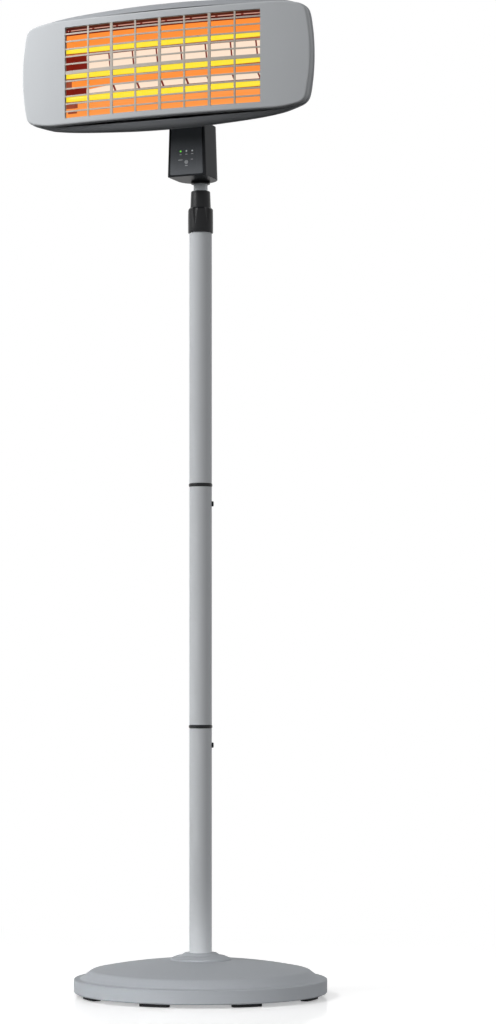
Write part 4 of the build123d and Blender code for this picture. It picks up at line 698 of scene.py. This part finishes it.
def fluted(points):
    """The wall moved inward by depth x h^0.6 x (1 - (a / w)^2) wherever |a| < w.

    h runs from 0 at the flute's point to 1 at the collar's top, w = half width x h^0.8 is half the
    flute's width at that height, and a is the way round the wall from the flute's middle line.  The
    move fades out over the top chamfer, from the grip's radius to 19 mm, and leaves the bore alone.
    """
    x, y, z = points.T / MM
    r, t = np.hypot(x, y), np.arctan2(y, x)
    h = np.clip((z - COLLAR_TOP + FLUTE_LENGTH) / FLUTE_LENGTH, 0, 1)
    step = 2 * np.pi / FLUTES
    a = ((t + np.pi / 2 - FLUTE_TURN + step / 2) % step - step / 2) * GRIP
    w = FLUTE_HALF_WIDTH * h**0.8 + 1e-6
    fade = np.clip((r - FLUTE_FADE) / (GRIP - FLUTE_FADE), 0, 1)
    cut = FLUTE_DEPTH * h**0.6 * np.clip(1 - (a / w) ** 2, 0, 1) * fade
    scale = (r - cut) / r
    return np.stack([x * scale, y * scale, z], axis=-1) * MM


foot = rounded([(FOOT_BORE, COLLAR_LOW), (GRIP, COLLAR_LOW, 0.8), (GRIP, 1365.0)], 4)
wall = np.stack([np.full(WALL_ROWS, GRIP), np.linspace(1365.5, 1396.2, WALL_ROWS)], axis=-1)
brow = np.linspace(wall[-1], (19.75, 1398.9), BROW_ROWS)[1:]
top = np.array([(TOP_BORE, COLLAR_TOP)])
grip_points = turned(np.concatenate([foot, wall, brow, top]), COLLAR_SEGMENTS)
grip_points = fluted(grip_points.reshape(-1, 3)).reshape(grip_points.shape)
bore = np.array([(TOP_BORE, 1397), (20, 1397), (20, 1383), (20.9, 1383), (20.9, 1376), (FOOT_BORE, 1376)])
grip_points = np.concatenate([grip_points, turned(bore, COLLAR_SEGMENTS)])
faces = grid_faces(len(grip_points), COLLAR_SEGMENTS, closed_rows=True)
grip = piece_from("fluted_collar", grip_points.reshape(-1, 3), faces, "collar",
                  replaces=("twist_collar",), sharp=CRISP_DEGREES)
grip.data.materials.append(collar_plastic)
print("fluted collar:", len(faces), "faces")

# %% The nose above it
NOSE_SEGMENTS = 160
nose = rounded([
    (12.6, 1348), (18.4, 1348), (18.4, 1378), (20.6, 1378), (20.6, 1381), (17.5, 1381), (17.5, 1397),
    (18.25, 1397), (18.25, 1400, 0.4), (17.1, 1428, 1.5), (15.9, 1429, 0.6), (12.6, 1429, 0.5),
], 4, closed=True)
faces = grid_faces(len(nose), NOSE_SEGMENTS, closed_rows=True)
collet = piece_from("smooth_nose", turned(nose, NOSE_SEGMENTS).reshape(-1, 3), faces, "base",
                    replaces=("collet_sleeve",), sharp=CRISP_DEGREES)
collet.data.materials.append(collar_plastic)
print("smooth nose:", len(faces), "faces")

# %% [markdown]
# ## Marks on the control panel
# The real panel has short pale marks printed under its three lamps, beside the button and under it.
# A print has almost no thickness. It could be painted in the film's material, but raised pads a tenth
# of a millimetre high keep crisp edges at any size and travel with the panel, so each mark is one
# pad, a plain dash.


# %% Printed pads
PAD_RINGS, PAD_SEGMENTS = 5, 48


def pad(centre_x, centre_z, half_x, half_z, front, rise):
    """A flat pad with a superelliptic outline |x / a|^4 + |z / b|^4 = 1 and a rounded brim, in mm.

    A ring of size q (1 at the brim, 0 in the middle) stands rise x (1 - q^8) ahead of the panel.  The
    first ring is sunk behind the panel, and both middles are closed with a single point.
    """
    t = np.linspace(0, 2 * np.pi, PAD_SEGMENTS, endpoint=False)
    ox = half_x * np.sign(np.cos(t)) * np.abs(np.cos(t)) ** 0.5
    oz = half_z * np.sign(np.sin(t)) * np.abs(np.sin(t)) ** 0.5
    q = np.concatenate([[1.0], np.linspace(1, 0.3, PAD_RINGS)])[:, None]
    y = front - rise * (1 - q**8)
    y[0] = front + rise
    ring = np.stack([centre_x + q * ox, y + 0 * ox, centre_z + q * oz], axis=-1).reshape(-1, 3)
    ends = np.array([[centre_x, front + rise, centre_z], [centre_x, front - rise, centre_z]])
    count = PAD_RINGS + 1
    j = np.arange(PAD_SEGMENTS)
    k = (j + 1) % PAD_SEGMENTS
    back, tip, last = count * PAD_SEGMENTS, count * PAD_SEGMENTS + 1, (count - 1) * PAD_SEGMENTS
    caps = np.concatenate([
        np.stack([np.full_like(j, back), k, j, j], axis=-1),
        np.stack([last + j, last + k, np.full_like(j, tip), np.full_like(j, tip)], axis=-1),
    ])
    return np.concatenate([ring, ends]) * MM, np.concatenate([grid_faces(count, PAD_SEGMENTS), caps])


# Each mark's middle, across and up, and its half length, in mm.
MARKS = [
    (-11, 1484.2, 1.9), (0, 1484.4, 2.2), (11, 1484.6, 2.2),
    (-11.4, 1474.8, 4.4), (0, 1464.6, 2.4), (10.5, 1474.9, 2.0),
]
MARK_HALF_HEIGHT, MARK_RISE = 0.62, 0.1
PANEL_FRONT = min(v[1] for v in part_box("control_overlay")) / MM
points, faces = joined(*[pad(x, z, a, MARK_HALF_HEIGHT, PANEL_FRONT, MARK_RISE) for x, z, a in MARKS])
marks = piece_from("panel_marks", points, faces, "mast")
marks.data.materials.append(print_white_painted_light)
print("panel marks:", len(MARKS), "pads")

# %% [markdown]
# ## Floor, background and light
# The photograph is a studio picture on white: a bright field behind, a soft shadow to the right of
# the base and a faint mirror image under it. The main light is a soft panel high to the left of the
# head, with a second one at the head's side, so the bowed face fades from light to dark across its
# width. They are weak lower down, so three narrow lamps light the pole and the two sides of the base.
# The white around the heater is given off by the floor and the world behind it, to the camera, gloss
# and glass only. More lamps could whiten the floor too, but they would wash out the heater.


# %% The floor
FLOOR_HALF = 9.0
FLOOR_GLOW, FLOOR_MATT, FLOOR_GLOSS, FLOOR_ROUGHNESS, FLOOR_SCATTER = 0.27, 0.95, 0.25, 0.10, 0.03
FADE_FROM, FADE_TO = 0.5, 1.5


def grey(value):
    """A neutral colour."""
    return value, value, value, 1


def make_floor():
    """White with a soft shadow and a faint mirror image near the heater, plain white farther out.

    Seen near by = 0.27 white light given off + a matt white that the lamps light + a gloss of 0.25, so
    a full shadow is never darker than 0.27.  Between the two fade radii it turns to pure white given
    off.  To scattered light it is dark, so the heater's underside stays dark as in the picture.
    """
    material = bpy.data.materials.new("floor")
    material.use_nodes = True
    tree = material.node_tree
    tree.nodes.clear()
    output = tree.nodes.new("ShaderNodeOutputMaterial")
    matt = tree.nodes.new("ShaderNodeBsdfDiffuse")
    matt.inputs["Color"].default_value = grey(FLOOR_MATT)
    glow = tree.nodes.new("ShaderNodeEmission")
    glow.inputs["Strength"].default_value = FLOOR_GLOW
    gloss = tree.nodes.new("ShaderNodeBsdfGlossy")
    gloss.inputs["Color"].default_value = grey(FLOOR_GLOSS)
    gloss.inputs["Roughness"].default_value = FLOOR_ROUGHNESS
    lit = tree.nodes.new("ShaderNodeAddShader")
    shown = tree.nodes.new("ShaderNodeAddShader")
    tree.links.new(matt.outputs[0], lit.inputs[0])
    tree.links.new(gloss.outputs[0], lit.inputs[1])
    tree.links.new(lit.outputs[0], shown.inputs[0])
    tree.links.new(glow.outputs[0], shown.inputs[1])
    away = tree.nodes.new("ShaderNodeVectorMath")
    away.operation = "LENGTH"
    tree.links.new(tree.nodes.new("ShaderNodeTexCoord").outputs["Object"], away.inputs[0])
    fade = tree.nodes.new("ShaderNodeMapRange")
    fade.interpolation_type = "SMOOTHSTEP"
    fade.inputs["From Min"].default_value = FADE_FROM
    fade.inputs["From Max"].default_value = FADE_TO
    tree.links.new(away.outputs["Value"], fade.inputs["Value"])
    white = tree.nodes.new("ShaderNodeEmission")
    near = tree.nodes.new("ShaderNodeMixShader")
    tree.links.new(fade.outputs[0], near.inputs[0])
    tree.links.new(shown.outputs[0], near.inputs[1])
    tree.links.new(white.outputs[0], near.inputs[2])
    dark = tree.nodes.new("ShaderNodeBsdfDiffuse")
    dark.inputs["Color"].default_value = grey(FLOOR_SCATTER)
    mix = tree.nodes.new("ShaderNodeMixShader")
    tree.links.new(seen_rays(tree), mix.inputs[0])
    tree.links.new(dark.outputs[0], mix.inputs[1])
    tree.links.new(near.outputs[0], mix.inputs[2])
    tree.links.new(mix.outputs[0], output.inputs["Surface"])
    return material


floor_points = FLOOR_HALF * np.array([[-1, -1, 0], [1, -1, 0], [1, 1, 0], [-1, 1, 0]])
floor_mesh = bpy.data.meshes.new("floor")
floor_mesh.from_pydata(floor_points.tolist(), [], [(0, 1, 2, 3)])
floor = bpy.data.objects.new("floor", floor_mesh)
bpy.context.scene.collection.objects.link(floor)
floor.data.materials.append(make_floor())
print("floor", 2 * FLOOR_HALF, "m square")

# %% The world
# To seen rays it is white. To scattered light it is a sky of strength horizon + (overhead - horizon) x
# up, where up is the direction's upward part, and nothing below the horizon.
GLOW_AT_HORIZON, GLOW_OVERHEAD = 1.21, 0.0
world = bpy.data.worlds.new("studio")
bpy.context.scene.world = world
world.use_nodes = True
sky = world.node_tree
background = sky.nodes["Background"]
direction = sky.nodes.new("ShaderNodeSeparateXYZ")
sky.links.new(sky.nodes.new("ShaderNodeTexCoord").outputs["Generated"], direction.inputs[0])
up = direction.outputs[2]
fall = math_node(sky, "MULTIPLY", math_node(sky, "MAXIMUM", up, 0.0), GLOW_OVERHEAD - GLOW_AT_HORIZON)
soft = both(sky, math_node(sky, "ADD", fall, GLOW_AT_HORIZON), above(sky, up, 0.0))
seen = seen_rays(sky)
unseen = math_node(sky, "MULTIPLY", math_node(sky, "SUBTRACT", 1.0, seen), soft)
sky.links.new(math_node(sky, "ADD", unseen, seen), background.inputs["Strength"])
background.inputs["Color"].default_value = grey(1)
print("sky strength at the horizon", GLOW_AT_HORIZON, "and overhead", GLOW_OVERHEAD)


# %% The lamps
def lamp(name, place, target, size, power, spread=180):
    """A soft box in metres and watts at a place, turned to a target, with its spread in degrees."""
    light = bpy.data.lights.new(name, "AREA")
    light.shape = "RECTANGLE"
    light.size, light.size_y = size
    light.energy = power
    light.spread = math.radians(spread)
    box = bpy.data.objects.new(name, light)
    bpy.context.scene.collection.objects.link(box)
    box.location = place
    box.rotation_euler = (Vector(target) - Vector(place)).to_track_quat("-Z", "Y").to_euler()
    box.visible_camera = False


lamp("head_light", (-0.95, -1.05, 2.15), (0, -0.18, 1.62), (0.5, 0.5), 12.5)
lamp("side_strip", (-0.9, -0.5, 1.9), (0, -0.1, 1.62), (0.3, 0.6), 3.2)
lamp("pole_light", (-1.9, -2.3, 0.7), (0, 0, 0.42), (0.6, 0.5), 0.9, spread=32)
lamp("base_light", (-1.1, -2.7, 0.10), (0, 0, -0.32), (0.6, 0.05), 1.3, spread=20)
lamp("rim_light", (2.2, -2.2, 0.10), (0, 0, -0.32), (0.6, 0.05), 0.6, spread=20)
print("lamps", len(bpy.data.lights))
